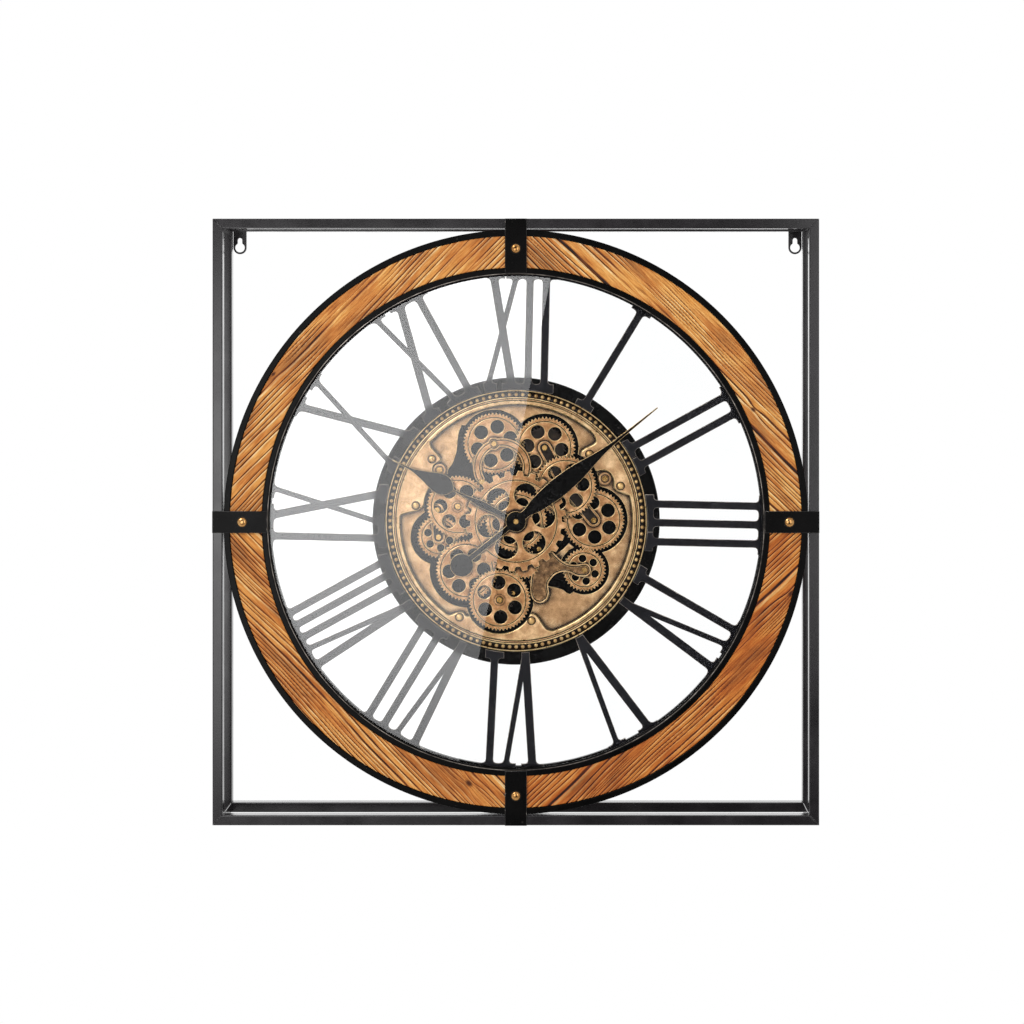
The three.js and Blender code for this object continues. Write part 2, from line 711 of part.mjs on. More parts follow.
// The cock's edges from the centre wheel to its tip, and back round its foot, in train units
const cockUpper = [[1.19, -1.01], [1.32, -1.15], [1.49, -1.31], [1.69, -1.43], [1.95, -1.47]];
const cockLower = [[2.02, -1.84], [1.79, -1.73], [1.56, -1.7], [1.32, -1.78], [1.16, -1.94], [1.06, -2.13],
  [1.09, -2.38], [1.02, -2.61], [0.82, -2.74], [0.59, -2.66], [0.47, -2.38], [0.5, -1.85], [0.62, -1.4], [0.8, -1.1]];
const cockFoot = [0.8, -2.45];

function smooth(points) {
  const curve = new THREE.SplineCurve(points.map((point) => new THREE.Vector2(...point)));
  return curve.getPoints(2 * points.length - 2).map((point) => [point.x, point.y]);
}

function pocketOutline({ from, to, points }) {
  const edge = arc(pocketRadius, radians(from), radians(to), pocketSteps);
  const back = smooth([edge.at(-1), ...points.map((point) => trainPoint(...point)), edge[0]]);
  return [...edge, ...back.slice(1, -1)];
}

// The cast cock that reaches over the lower right wheel, from its foot on the sheet
function cockPlates() {
  const tip = shifted(arc(bridgeHalfWidth, Math.PI / 2, -Math.PI / 2, smallSteps / 2), ...train.lower_right.place);
  const outline = [
    ...smooth([...cockUpper.map((point) => trainPoint(...point)), tip[0]]),
    ...tip.slice(1, -1),
    ...smooth([tip.at(-1), ...cockLower.map((point) => trainPoint(...point))]),
  ];
  return [
    plate(outline, bridgeFront, bridgeBack),
    plate(shifted(circle(cockFootRadius), ...trainPoint(...cockFoot)), bridgeFront, floorFront),
  ];
}

// The raised rim with its pockets, cut away round each wheel and pillar
function addBezel() {
  const rimFront = floorFront - rimHeight;
  const through = (outline) => plate(outline, rimFront - 1, floorFront + 1);
  const tools = pockets.map((pocket) => plate(pocketOutline(pocket), rimFront - 1, floorFront - sheetHeight));
  for (const [name, wheel] of Object.entries(train)) {
    const reach = name === 'centre' ? coarseTipRadius : tipRadius(wheel.teeth);
    const room = wheel.room ?? cutoutGap;
    tools.push(through(shifted(circle(reach + room, cutoutSteps), ...wheel.place)));
  }
  for (const place of pillarPlaces()) {
    tools.push(through(shifted(circle(postRadius + cutoutGap), ...place)));
  }
  for (const points of sheetOpenings) {
    tools.push(through(smooth(points.map((point) => trainPoint(...point)))));
  }
  const disc = toSolid(pin(bezelRadius, rimFront, floorFront, discSteps));
  const pieces = cut(disc, tools).decompose();
  const whole = pieces.reduce((best, piece) => (piece.volume() > best.volume() ? piece : best));
  addPiece('bezel_plate', cockPlates().map(toSolid).reduce((sum, solid) => sum.add(solid), whole), bronze);
}

// Half outlines of the hands, as pairs of a share of the hand's length and a half width
const minuteLeaf = [[0, 4.5], [0.078, 4.2], [0.139, 7.2], [0.217, 8.9], [0.289, 9.8], [0.361, 9.4], [0.433, 8.3],
  [0.5, 6.3], [0.561, 4.4], [0.622, 2.8], [0.694, 1.8], [1, 0.6]];
const hourBlade = [[0, 3], [0.088, 2.6], [0.212, 3.2], [0.293, 3.3], [0.374, 1.9], [0.454, 1.1], [0.509, 0.9],
  [0.52, 3.6], [0.549, 8], [0.586, 10], [0.623, 10.2], [0.667, 8.9], [0.718, 6.3], [0.777, 3.7], [0.828, 1.9],
  [0.872, 1.1], [1, 0.5]];

function bladeOutline(half, length) {
  const right = half.map(([share, width]) => [width, share * length]);
  const left = half.map(([share, width]) => [-width, share * length]).reverse();
  return [...right, ...left];
}

function addHands() {
  const shaftEnd = floorBack + arborPocket - 1;
  const minuteLength = minuteShare * lipRadius;
  const hourLength = hourShare * lipRadius;
  const tailLength = tailShare * minuteLength;
  const tailHalf = tailWidth / 2;
  const tail = [[-tailHalf, -tailLength], [tailHalf, -tailLength], [tailHalf, 0], [-tailHalf, 0]];
  const minute = joined([
    plate(circle(minuteHubRadius, 24), minuteFront, minuteBack),
    plate(bladeOutline(minuteLeaf, minuteLength), minuteFront, minuteBack),
    plate(tail, minuteFront, minuteBack),
    plate(shifted(circle(counterweightRadius, 24), 0, -tailLength), minuteFront, minuteBack),
    pin(minuteShaftRadius, minuteFront, shaftEnd),
  ]);
  addPiece('minute_hand', minute, blackSteel, [0, 0, 0], minuteAngle);
  const hourPlates = joined([
    plate(circle(hourHubRadius, 24), hourFront, hourBack),
    plate(bladeOutline(hourBlade, hourLength), hourFront, hourBack),
    pin(hourTubeRadius, hourFront, shaftEnd - 1),
  ]);
  const tubeBore = pin(reachInside(hourTubeBore, smallSteps), hourFront - 1, shaftEnd + 1);
  addPiece('hour_hand', cut(hourPlates, [tubeBore]), blackSteel, [0, 0, 0], hourAngle);
  addPiece('hand_nut', pin(nutRadius, glassBack + nutToGlass, minuteFront), brass);
}

// A round cell lying along x, with its raised contact on the right
function cellShape() {
  const half = cellLength / 2;
  const cell = turned([
    [0, -half],
    [cellRadius, -half],
    [cellRadius, half],
    [cellNubRadius, half],
    [cellNubRadius, half + cellNubLength],
    [0, half + cellNubLength],
  ], smallSteps);
  return cell.rotateZ(-Math.PI / 2);
}

function caseShape(lowX, highX, lowZ, highZ, depth, arbor, bayHeight, arborBore) {
  const back = floorBack + depth;
  const bayHalf = cellRadius + cellGap;
  const bayReach = cellLength / 2 + cellNubLength + cellGap;
  const bayFloor = back - 2 * bayHalf;
  const shell = toSolid(block(lowX, highX, floorBack, back, lowZ, highZ));
  return cut(shell, [
    plate(shifted(circle(reachInside(arborBore, smallSteps)), ...arbor), floorBack - 1, floorBack + arborPocket),
    block(-bayReach, bayReach, bayFloor, back + 1, bayHeight - bayHalf, bayHeight + bayHalf),
  ]);
}

function addMovement() {
  const half = movementWidth / 2;
  const top = movementHeight - movementDrop;
  const back = floorBack + caseDepth;
  const bayHeight = top - caseWall - cellMargin - cellRadius;
  const body = caseShape(-half, half, -movementDrop, top, caseDepth, [0, 0], bayHeight, bushBore);
  addPiece('movement_case', body, blackPlastic);
  const cellDepth = back - cellRadius - cellGap;
  addPiece('movement_cell', cellShape(), cellFilm, [0, cellDepth, bayHeight]);
  addPiece('setting_knob', pin(knobRadius, back + fitGap, back + fitGap + knobHeight, 16), blackPlastic);
}

function addMotor() {
  const half = motorWidth / 2;
  const bottom = motorTop - motorHeight;
  const back = floorBack + motorDepth;
  const bayHeight = bottom + caseWall + cellMargin + cellRadius;
  const bore = postRadius + runningGap;
  const body = caseShape(-half, half, bottom, motorTop, motorDepth, train.drive.place, bayHeight, bore);
  const switchX = -half / 2;
  const sliderX = switchX - switchTravel / 2;
  const switchZ = motorTop - motorHeight / 4;
  const slotX = (switchWidth + switchTravel) / 2 + fitGap;
  const slotZ = switchHeight / 2 + fitGap;
  const slot = block(-slotX, slotX, back - switchDepth - fitGap, back + 1, -slotZ, slotZ);
  slot.translate(switchX, 0, switchZ);
  addPiece('drive_case', cut(body, [slot]), blackPlastic);
  const knob = block(-switchWidth / 2, switchWidth / 2, back - switchDepth, back + switchProud,
    -switchHeight / 2, switchHeight / 2);
  addPiece('drive_switch', knob, blackPlastic, [sliderX, 0, switchZ]);
  addPiece('drive_cell', cellShape(), cellFilm, [0, back - cellRadius - cellGap, bayHeight]);
}

addFrame();
addHangers();
addHoops();
addWood();
addStraps();
addNumerals();
addDialDisc();
addBezel();
addCentreWheel();
addWheels();
addDrivePinion();
addBridges();
addHands();
addMovement();
addMotor();

export default clock;
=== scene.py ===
"""Looks of a gear wall clock, built round its solids.

Sizes are in millimetres unless a name says metres. +Z is up, the face looks along -Y and the
hands turn about the Y axis. Outlines are read from the solids, so a piece sits where its solid is.
"""
import json
import math

import bmesh
import bpy
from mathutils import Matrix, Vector, geometry, noise


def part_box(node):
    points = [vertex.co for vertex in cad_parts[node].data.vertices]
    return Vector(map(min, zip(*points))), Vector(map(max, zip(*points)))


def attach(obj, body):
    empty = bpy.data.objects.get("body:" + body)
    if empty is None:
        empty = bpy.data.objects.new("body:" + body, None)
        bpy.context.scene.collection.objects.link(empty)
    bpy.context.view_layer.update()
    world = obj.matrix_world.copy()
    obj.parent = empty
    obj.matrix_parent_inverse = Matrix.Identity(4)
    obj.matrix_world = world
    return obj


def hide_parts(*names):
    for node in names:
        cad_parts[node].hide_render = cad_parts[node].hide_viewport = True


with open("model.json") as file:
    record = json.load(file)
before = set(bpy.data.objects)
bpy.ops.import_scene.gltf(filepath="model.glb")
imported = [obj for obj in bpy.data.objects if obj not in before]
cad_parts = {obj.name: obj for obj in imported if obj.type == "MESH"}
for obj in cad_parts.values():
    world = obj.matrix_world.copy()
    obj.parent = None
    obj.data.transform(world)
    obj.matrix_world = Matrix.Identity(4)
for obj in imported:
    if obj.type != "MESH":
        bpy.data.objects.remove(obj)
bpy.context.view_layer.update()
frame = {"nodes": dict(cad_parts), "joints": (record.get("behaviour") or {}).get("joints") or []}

MM = 0.001
FACING_FRONT = -1
FACING_BACK = 1
BODY = "clock_body"


# Colour and node helpers
def linear(code):
    """An sRGB hex value as a linear colour."""
    parts = [int(code[i:i + 2], 16) / 255 for i in (1, 3, 5)]
    return [p / 12.92 if p <= 0.04045 else ((p + 0.055) / 1.055) ** 2.4 for p in parts] + [1]


def spread_stops(bar, stops):
    """Sets a colour bar from pairs of a place and a hex colour."""
    while len(bar.elements) < len(stops):
        bar.elements.new(1)
    for element, (place, code) in zip(bar.elements, stops):
        element.position = place
        element.color = linear(code)


def add(tree, kind, settings=None, inputs=None):
    """Adds a node with its settings, and sets or links its inputs by name or number."""
    made = tree.nodes.new(kind)
    for name, value in (settings or {}).items():
        if name == "stops":
            spread_stops(made.color_ramp, value)
        else:
            setattr(made, name, value)
    for name, value in (inputs or {}).items():
        if isinstance(value, bpy.types.NodeSocket):
            tree.links.new(value, made.inputs[name])
        else:
            made.inputs[name].default_value = value
    return made


def every(size):
    """The scale of a pattern that repeats about every so many millimetres."""
    return 1 / (size * MM)


def new_material(name, metallic, roughness):
    made = bpy.data.materials.new(name)
    made.use_nodes = True
    shader = made.node_tree.nodes["Principled BSDF"]
    shader.inputs["Metallic"].default_value = metallic
    shader.inputs["Roughness"].default_value = roughness
    return made, made.node_tree, shader


def mottled(name, metallic, stops, spot, rough, grit, relief):
    """A finish with clouded colour, uneven gloss and a fine grit in relief.

    Spot and grit are how wide a cloud and a grain are, relief is how high a grain is, and rough holds the
    least and the greatest roughness.
    """
    made, tree, shader = new_material(name, metallic, rough[0])
    where = add(tree, "ShaderNodeTexCoord").outputs["Object"]
    cloud = add(tree, "ShaderNodeTexNoise", None,
                {"Vector": where, "Scale": every(spot), "Detail": 6, "Roughness": 0.65})
    tint = add(tree, "ShaderNodeValToRGB", {"stops": stops}, {"Fac": cloud.outputs["Fac"]})
    tree.links.new(tint.outputs["Color"], shader.inputs["Base Color"])
    gloss = add(tree, "ShaderNodeMapRange", None, {
        "Value": cloud.outputs["Fac"], "From Min": 0.3, "From Max": 0.7,
        "To Min": rough[0], "To Max": rough[1]})
    tree.links.new(gloss.outputs["Result"], shader.inputs["Roughness"])
    grain = add(tree, "ShaderNodeTexNoise", None, {"Vector": where, "Scale": every(grit), "Detail": 3})
    bump = add(tree, "ShaderNodeBump", None,
               {"Height": grain.outputs["Fac"], "Strength": 0.35, "Distance": relief * MM})
    tree.links.new(bump.outputs["Normal"], shader.inputs["Normal"])
    return made, tree, shader


# Materials
def satin_black_steel():
    """Powder-coated mild steel: near black, satin, with the slight orange peel of a baked coat."""
    stops = [(0.3, "#151315"), (0.7, "#221f22")]
    made, _, shader = mottled("satin_black_powder_coat", 0.0, stops, spot=35, rough=(0.16, 0.26),
                              grit=1.6, relief=0.04)
    shader.inputs["Specular IOR Level"].default_value = 0.56
    return made


def matt_black_paint():
    """Sprayed black on hoops, straps, hands and dial: deeper than the coated frame, with a few scuffs."""
    stops = [(0.3, "#020202"), (0.7, "#080707")]
    made, tree, shader = mottled("matt_black_paint", 0.0, stops, spot=25, rough=(0.22, 0.32),
                                 grit=1.4, relief=0.04)
    shader.inputs["Specular IOR Level"].default_value = 0.08
    where = add(tree, "ShaderNodeTexCoord").outputs["Object"]
    marks = add(tree, "ShaderNodeTexNoise", None, {"Vector": where, "Scale": every(6), "Detail": 5})
    rubbed = add(tree, "ShaderNodeMapRange", None,
                 {"Value": marks.outputs["Fac"], "From Min": 0.7, "From Max": 0.8})
    coat = shader.inputs["Base Color"].links[0].from_socket
    scuffed = add(tree, "ShaderNodeMix", {"data_type": "RGBA"},
                  {"Factor": rubbed.outputs["Result"], "A": coat, "B": linear("#3c3836")})
    tree.links.new(scuffed.outputs["Result"], shader.inputs["Base Color"])
    return made


def slate_enamel():
    """The numerals' enamel: a dark slate with a breath of blue, a little lighter than the dial."""
    stops = [(0.3, "#0a090e"), (0.7, "#14131a")]
    made, _, shader = mottled("slate_blue_enamel", 0.0, stops, spot=30, rough=(0.3, 0.42),
                              grit=1.4, relief=0.04)
    shader.inputs["Specular IOR Level"].default_value = 0.2
    return made


def chipped_edge():
    """Painted strap edges, dark but for the few chips that show bright steel."""
    stops = [(0.5, "#141212"), (0.62, "#3a3533"), (0.72, "#cfc6bd")]
    return mottled("chipped_paint_edge", 0.2, stops, spot=5, rough=(0.3, 0.42), grit=1.2, relief=0.04)[0]


def rubbed_steel_edge_and_highlight():
    """The same coat rubbed thin on the edges, where the grey steel starts to show, and lightened there as a
    painted highlight.
    """
    stops = [(0.35, "#3a3533"), (0.55, "#857d76"), (0.75, "#c4bab0")]
    return mottled("rubbed_steel_edge_and_highlight", 0.6, stops, spot=14, rough=(0.28, 0.4), grit=1.2, relief=0.04)[0]


# The brown-black of patina and painted shade in corners
PATINA_AND_SHADE = "#1a0f07"
STIPPLE = 1.8


def aged_bronze(name, stops, spot, patina, alone, relief=0.1):
    """Cast bronze, rubbed and darkened: warm raised faces, and in corners a stippled brown-black that is
    partly patina and partly painted shade.

    The patina and painted shade reach so many millimetres from a corner. Where alone is set, other
    pieces make no corners; where it is not, other pieces that cover a face cast painted shade on it too.
    """
    made, tree, shader = mottled(name, 0.6, stops, spot, rough=(0.32, 0.44), grit=0.9, relief=relief)
    faces = shader.inputs["Base Color"].links[0].from_socket
    # Patina and painted shade: darker wherever other faces close round a point
    shade = add(tree, "ShaderNodeAmbientOcclusion", {"samples": 8, "only_local": alone},
                {"Distance": patina * MM})
    where = add(tree, "ShaderNodeTexCoord").outputs["Object"]
    stipple = add(tree, "ShaderNodeTexNoise", None,
                  {"Vector": where, "Scale": every(STIPPLE), "Detail": 4, "Roughness": 0.7})
    flecked = add(tree, "ShaderNodeMath", {"operation": "MULTIPLY_ADD"},
                  {0: stipple.outputs["Fac"], 1: 0.16, 2: shade.outputs["AO"]})
    open_share = add(tree, "ShaderNodeMapRange", None,
                     {"Value": flecked.outputs["Value"], "From Min": 0.84, "From Max": 1.09})
    bare = add(tree, "ShaderNodeValToRGB",
               {"stops": [(0.0, "#000000"), (0.6, "#666666"), (0.9, "#ffffff")]},
               {"Fac": open_share.outputs["Result"]})
    patinated_and_shaded = add(tree, "ShaderNodeMix", {"data_type": "RGBA"},
               {"Factor": bare.outputs["Color"], "A": linear(PATINA_AND_SHADE), "B": faces})
    tree.links.new(patinated_and_shaded.outputs["Result"], shader.inputs["Base Color"])
    return made


def bronze_faces():
    """The bezel's sheet and rim: the palest bronze, darkened brown along every step by patina and painted
    shade.
    """
    stops = [(0.28, "#8a6642"), (0.5, "#c4996c"), (0.72, "#f6d2a2")]
    return aged_bronze("aged_bronze", stops, spot=14, patina=18, alone=True)


def bronze_gears():
    """The same bronze, browner, on the wheels, with patina in corners and painted shade where one wheel
    covers another.
    """
    stops = [(0.28, "#744c2a"), (0.5, "#b07e50"), (0.72, "#ecbf90")]
    return aged_bronze("patinated_and_shaded_gear_bronze", stops, spot=9, patina=4, alone=False)


def hammered_bronze():
    """Bronze left as the hammer and the mould made it: dark, speckled and pitted."""
    stops = [(0.33, "#402a16"), (0.52, "#7a5a3a"), (0.7, "#bd9162")]
    return aged_bronze("hammered_bronze", stops, spot=5, patina=4, alone=True, relief=0.4)


def bronze_dark():
    """Almost black bronze on walls, grooves and hidden faces: the deepest patina, and painted shade where
    those lie in shade.
    """
    stops = [(0.3, "#0c0703"), (0.6, "#1d1208"), (0.8, "#3a2814")]
    return aged_bronze("patina_and_painted_shade_bronze", stops, spot=9, patina=3, alone=True)


def bronze_edges():
    """Bronze edges in a pale gold: partly polished by handling, partly a painted highlight."""
    stops = [(0.25, "#d8b078"), (0.6, "#f4d6a0"), (0.8, "#fbe6bf")]
    return mottled("polished_bronze_edge_and_highlight", 0.8, stops, spot=7, rough=(0.24, 0.34), grit=0.8, relief=0.05)[0]


def gold_beads():
    """Cast gold-toned beads, bright on the crown."""
    stops = [(0.3, "#c0925a"), (0.6, "#e8c284"), (0.8, "#f7dda8")]
    return mottled("gilded_bronze", 0.75, stops, spot=5, rough=(0.26, 0.38), grit=0.7, relief=0.06)[0]


def turned_brass():
    """Turned brass: clean and yellow, with faint tool marks."""
    stops = [(0.3, "#93703c"), (0.7, "#c9a266")]
    return mottled("turned_brass", 1.0, stops, spot=6, rough=(0.22, 0.32), grit=0.5, relief=0.04)[0]


def worn_copper():
    """Copper-plated bolt heads, brown in the hollows and bright on the dome."""
    stops = [(0.3, "#8a5c30"), (0.55, "#c4935a"), (0.8, "#eccb96")]
    return mottled("worn_copper_plate", 1.0, stops, spot=5, rough=(0.14, 0.24), grit=0.8, relief=0.03)[0]


def black_abs():
    """Moulded ABS: matt black with a fine spark-eroded texture."""
    stops = [(0.3, "#171717"), (0.7, "#232323")]
    return mottled("moulded_black_abs", 0.0, stops, spot=20, rough=(0.5, 0.62), grit=0.7, relief=0.12)[0]


def tinned_steel():
    """Tinned spring steel of the cell contacts."""
    stops = [(0.3, "#8e9092"), (0.7, "#c9cbcc")]
    return mottled("tinned_steel", 1.0, stops, spot=6, rough=(0.2, 0.34), grit=0.6, relief=0.03)[0]


def cell_sleeve():
    """A shrunk plastic sleeve on a dry cell: plain grey-green, slightly glossy."""
    stops = [(0.3, "#4d5a55"), (0.7, "#5f6d67")]
    return mottled("shrunk_cell_sleeve", 0.0, stops, spot=12, rough=(0.25, 0.33), grit=1.0, relief=0.02)[0]


def float_glass():
    """Clear float glass. Lamps shine through it, so what lies behind stays lit."""
    made, tree, shader = new_material("clear_float_glass", 0.0, 0.0)
    shader.inputs["Transmission Weight"].default_value = 1
    shader.inputs["IOR"].default_value = 1.52
    where = add(tree, "ShaderNodeTexCoord").outputs["Object"]
    film = add(tree, "ShaderNodeTexNoise", None, {"Vector": where, "Scale": every(60), "Detail": 3})
    tint = add(tree, "ShaderNodeValToRGB", {"stops": [(0.4, "#fdfefe"), (0.7, "#ffffff")]},
               {"Fac": film.outputs["Fac"]})
    tree.links.new(tint.outputs["Color"], shader.inputs["Base Color"])
    clear = add(tree, "ShaderNodeBsdfTransparent")
    lamp = add(tree, "ShaderNodeLightPath").outputs["Is Shadow Ray"]
    both = add(tree, "ShaderNodeMixShader", None,
               {"Fac": lamp, 1: shader.outputs["BSDF"], 2: clear.outputs["BSDF"]})
    tree.links.new(both.outputs["Shader"], tree.nodes["Material Output"].inputs["Surface"])
    return made


def ground_glass():
    """The ground edge of the pane: matt and a pale blue."""
    stops = [(0.3, "#b4bfd8"), (0.7, "#e6ebf6")]
    return mottled("ground_glass_edge", 0.0, stops, spot=10, rough=(0.4, 0.55), grit=0.8, relief=0.03)[0]


def pine_colours(tree, board, fibres):
    """Bands that follow the grain, toned by its fibres, broad shades, each board's stain and the knots."""
    height = add(tree, "ShaderNodeAttribute", {"attribute_name": "grain"}).outputs["Fac"]
    knot = add(tree, "ShaderNodeAttribute", {"attribute_name": "knot"}).outputs["Fac"]
    drift = add(tree, "ShaderNodeMapping", {"vector_type": "POINT"},
                {"Vector": board, "Scale": (every(17), every(70), 1)})
    broad = add(tree, "ShaderNodeTexNoise", None,
                {"Vector": drift.outputs["Vector"], "Scale": 1, "Detail": 4})
    # Darkest in the grooves and palest on the ridges: partly the wood's own stain, partly painted shade in
    # the grooves and painted highlight on the ridges
    bands = add(tree, "ShaderNodeValToRGB", {"stops": [
        (0.0, "#220c03"), (0.25, "#84491a"), (0.5, "#e4a455"), (0.75, "#f9c97e"), (1.0, "#fff0c4")]},
        {"Fac": height})
    streaks = add(tree, "ShaderNodeValToRGB", {"stops": [
        (0.32, "#8a5a34"), (0.48, "#e6cfae"), (0.62, "#ffffff")]}, {"Fac": fibres})
    toned = add(tree, "ShaderNodeMix", {"data_type": "RGBA", "blend_type": "MULTIPLY"},
                {"Factor": 0.6, "A": bands.outputs["Color"], "B": streaks.outputs["Color"]})
    shades = add(tree, "ShaderNodeValToRGB", {"stops": [
        (0.32, "#8a5232"), (0.46, "#dcb088"), (0.56, "#ffffff"), (0.75, "#fff1d2")]},
        {"Fac": broad.outputs["Fac"]})
    stained = add(tree, "ShaderNodeMix", {"data_type": "RGBA", "blend_type": "MULTIPLY"},
                  {"Factor": 0.62, "A": toned.outputs["Result"], "B": shades.outputs["Color"]})
    share = add(tree, "ShaderNodeAttribute", {"attribute_name": "stain"}).outputs["Fac"]
    deeper = add(tree, "ShaderNodeMix", {"data_type": "RGBA", "blend_type": "MULTIPLY"},
                 {"Factor": share, "A": stained.outputs["Result"], "B": linear("#dfb27c")})
    knotted = add(tree, "ShaderNodeMix", {"data_type": "RGBA"},
                  {"Factor": knot, "A": deeper.outputs["Result"], "B": linear("#4a2009")})
    return knotted.outputs["Result"]


def stained_pine():
    """Wire-brushed pine under an amber stain: dark grooves, pale ridges, brown patches, short fibres.
    The dark grooves and pale ridges are partly the stain and partly painted shade and painted highlight.
    """
    made, tree, shader = new_material("brushed_stained_pine", 0.0, 0.5)
    shader.inputs["Specular IOR Level"].default_value = 0.25
    board = add(tree, "ShaderNodeAttribute", {"attribute_name": "board"}).outputs["Vector"]
    drawn = add(tree, "ShaderNodeMapping", {"vector_type": "POINT"},
                {"Vector": board, "Scale": (every(1.1), every(13), 1)})
    fine = add(tree, "ShaderNodeTexNoise", None,
               {"Vector": drawn.outputs["Vector"], "Scale": 1, "Detail": 5, "Roughness": 0.7})
    fibres = fine.outputs["Fac"]
    tree.links.new(pine_colours(tree, board, fibres), shader.inputs["Base Color"])
    gloss = add(tree, "ShaderNodeMapRange", None, {"Value": fibres, "To Min": 0.42, "To Max": 0.62})
    tree.links.new(gloss.outputs["Result"], shader.inputs["Roughness"])
    bump = add(tree, "ShaderNodeBump", None, {"Height": fibres, "Strength": 0.5, "Distance": 0.25 * MM})
    tree.links.new(bump.outputs["Normal"], shader.inputs["Normal"])
    return made


STEEL = satin_black_steel()
STEEL_EDGE = rubbed_steel_edge_and_highlight()
PAINT = matt_black_paint()
BRONZE = bronze_faces()
BRONZE_DARK = bronze_dark()
BRONZE_GEAR = bronze_gears()
BRONZE_HAMMERED = hammered_bronze()
BRONZE_EDGE = bronze_edges()
GOLD = gold_beads()
BRASS = turned_brass()
COPPER = worn_copper()
ABS = black_abs()
TIN = tinned_steel()
SLEEVE = cell_sleeve()
ENAMEL = slate_enamel()
CHIPPED = chipped_edge()
GLASS = float_glass()
GLASS_EDGE = ground_glass()
PINE = stained_pine()
# Edges take the pale edge finishes, partly wear and partly painted highlight; in bronze, walls take the
# near-black of patina and painted shade
STRAP_PLATE = [PAINT, CHIPPED, PAINT]
NUMERAL_PLATE = [ENAMEL, STEEL_EDGE, ENAMEL]
BRONZE_PLATE = [BRONZE, BRONZE_EDGE, BRONZE_DARK, BRONZE_HAMMERED]
GEAR_PLATE = [BRONZE_GEAR, BRONZE_EDGE, BRONZE_DARK]


# Reading the solids
def low(node):
    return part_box(node)[0] / MM


def high(node):
    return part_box(node)[1] / MM


def radii(node):
    """The least and greatest distance of a solid's points from the axis of the hands."""
    reach = [math.hypot(v.co.x, v.co.z) / MM for v in frame["nodes"][node].data.vertices]
    return min(reach), max(reach)


def pivot(joint):
    """Where a joint's axis passes, as (x, z)."""
    found = next(j for j in frame["joints"] if j["name"] == joint)
    return found["pos_m"][0] / MM, found["pos_m"][2] / MM


def chained(edges):
    """Closed loops from directed edges."""
    after = {}
    for start, end in sorted(edges):
        after.setdefault(start, []).append(end)
    loops = []
    while after:
        loop = [min(after)]
        while True:
            here = loop[-1]
            end = after[here].pop()
            if not after[here]:
                del after[here]
            if end == loop[0]:
                break
            loop.append(end)
        loops.append(loop)
    return loops


def outlines(node, depth, facing=FACING_FRONT):
    """Outlines in (x, z) of a solid's flat faces at one depth: counter-clockwise, and holes clockwise."""
    mesh = frame["nodes"][node].data
    points = [tuple(round(c / MM, 3) for c in v.co) for v in mesh.vertices]
    edges = set()
    for face in mesh.polygons:
        corners = [points[i] for i in face.vertices]
        if face.normal.y * facing < 0.9 or abs(corners[0][1] - depth) > 0.02:
            continue
        flat = [(x, z) for x, _, z in corners][::-facing]
        for start, end in zip(flat, flat[1:] + flat[:1]):
            if (end, start) in edges:
                edges.remove((end, start))
            else:
                edges.add((start, end))
    return [refined(loop) for loop in chained(edges)]


# Outlines
def circle(radius, centre=(0, 0), steps=96, hole=False):
    turn = -2 * math.pi / steps if hole else 2 * math.pi / steps
    angles = [i * turn for i in range(steps)]
    return [(centre[0] + radius * math.cos(a), centre[1] + radius * math.sin(a)) for a in angles]


def area(loop):
    """Signed area: positive where the loop runs counter-clockwise."""
    return sum(a[0] * b[1] - b[0] * a[1] for a, b in zip(loop, loop[1:] + loop[:1])) / 2


def middle(loop):
    return sum(p[0] for p in loop) / len(loop), sum(p[1] for p in loop) / len(loop)


def as_circle(loop):
    """The centre and radius of a loop that is round, or None."""
    centre = middle(loop)
    reach = [math.dist(p, centre) for p in loop]
    if len(loop) < 8 or max(reach) > 1.01 * min(reach):
        return None
    return centre, sum(reach) / len(reach)


def turn_at(before, point, after):
    """The angle that an outline turns at a point, positive to the left."""
    first = math.atan2(point[1] - before[1], point[0] - before[0])
    last = math.atan2(after[1] - point[1], after[0] - point[0])
    return (last - first + math.pi) % (2 * math.pi) - math.pi


def bulged(loop, limit=math.radians(40), shortest=0.8, evenness=2.2):
    """The outline with a point on the bulge of each stretch that bends gently, as an arc does."""
    count = len(loop)
    turns = [turn_at(loop[i - 1], loop[i], loop[(i + 1) % count]) for i in range(count)]
    lengths = [math.dist(loop[i], loop[(i + 1) % count]) for i in range(count)]
    made = []
    for i, start in enumerate(loop):
        j = (i + 1) % count
        end = loop[j]
        made.append(start)
        uneven = lengths[i] > evenness * min(lengths[i - 1], lengths[j])
        if abs(turns[i]) > limit or abs(turns[j]) > limit or lengths[i] < shortest or uneven:
            continue
        share = turns[i] * lengths[i] / (lengths[i] + lengths[i - 1])
        share += turns[j] * lengths[i] / (lengths[i] + lengths[j])
        rise = math.tan(share / 4) / 2
        made.append(((start[0] + end[0]) / 2 + (end[1] - start[1]) * rise,
                     (start[1] + end[1]) / 2 - (end[0] - start[0]) * rise))
    return made


def refined(loop):
    """A round loop as a fine circle, and any other with its arcs made finer."""
    found = as_circle(loop)
    if found:
        centre, radius = found
        return circle(radius, centre, 64 if radius < 60 else 256, area(loop) < 0)
    return bulged(bulged(loop))


def inset(loop, distance):
    """The outline moved into its material, with mitred corners."""
    count = len(loop)
    made = []
    for i, point in enumerate(loop):
        ways = [Vector(point) - Vector(loop[i - 1]), Vector(loop[(i + 1) % count]) - Vector(point)]
        normals = [Vector((-way.y, way.x)).normalized() for way in ways]
        mitre = normals[0] + normals[1]
        mitre *= min(1 / (1 + normals[0].dot(normals[1]) + 1e-6), 1.6)
        made.append((point[0] + mitre.x * distance, point[1] + mitre.y * distance))
    return made


BESIDE = 1.12


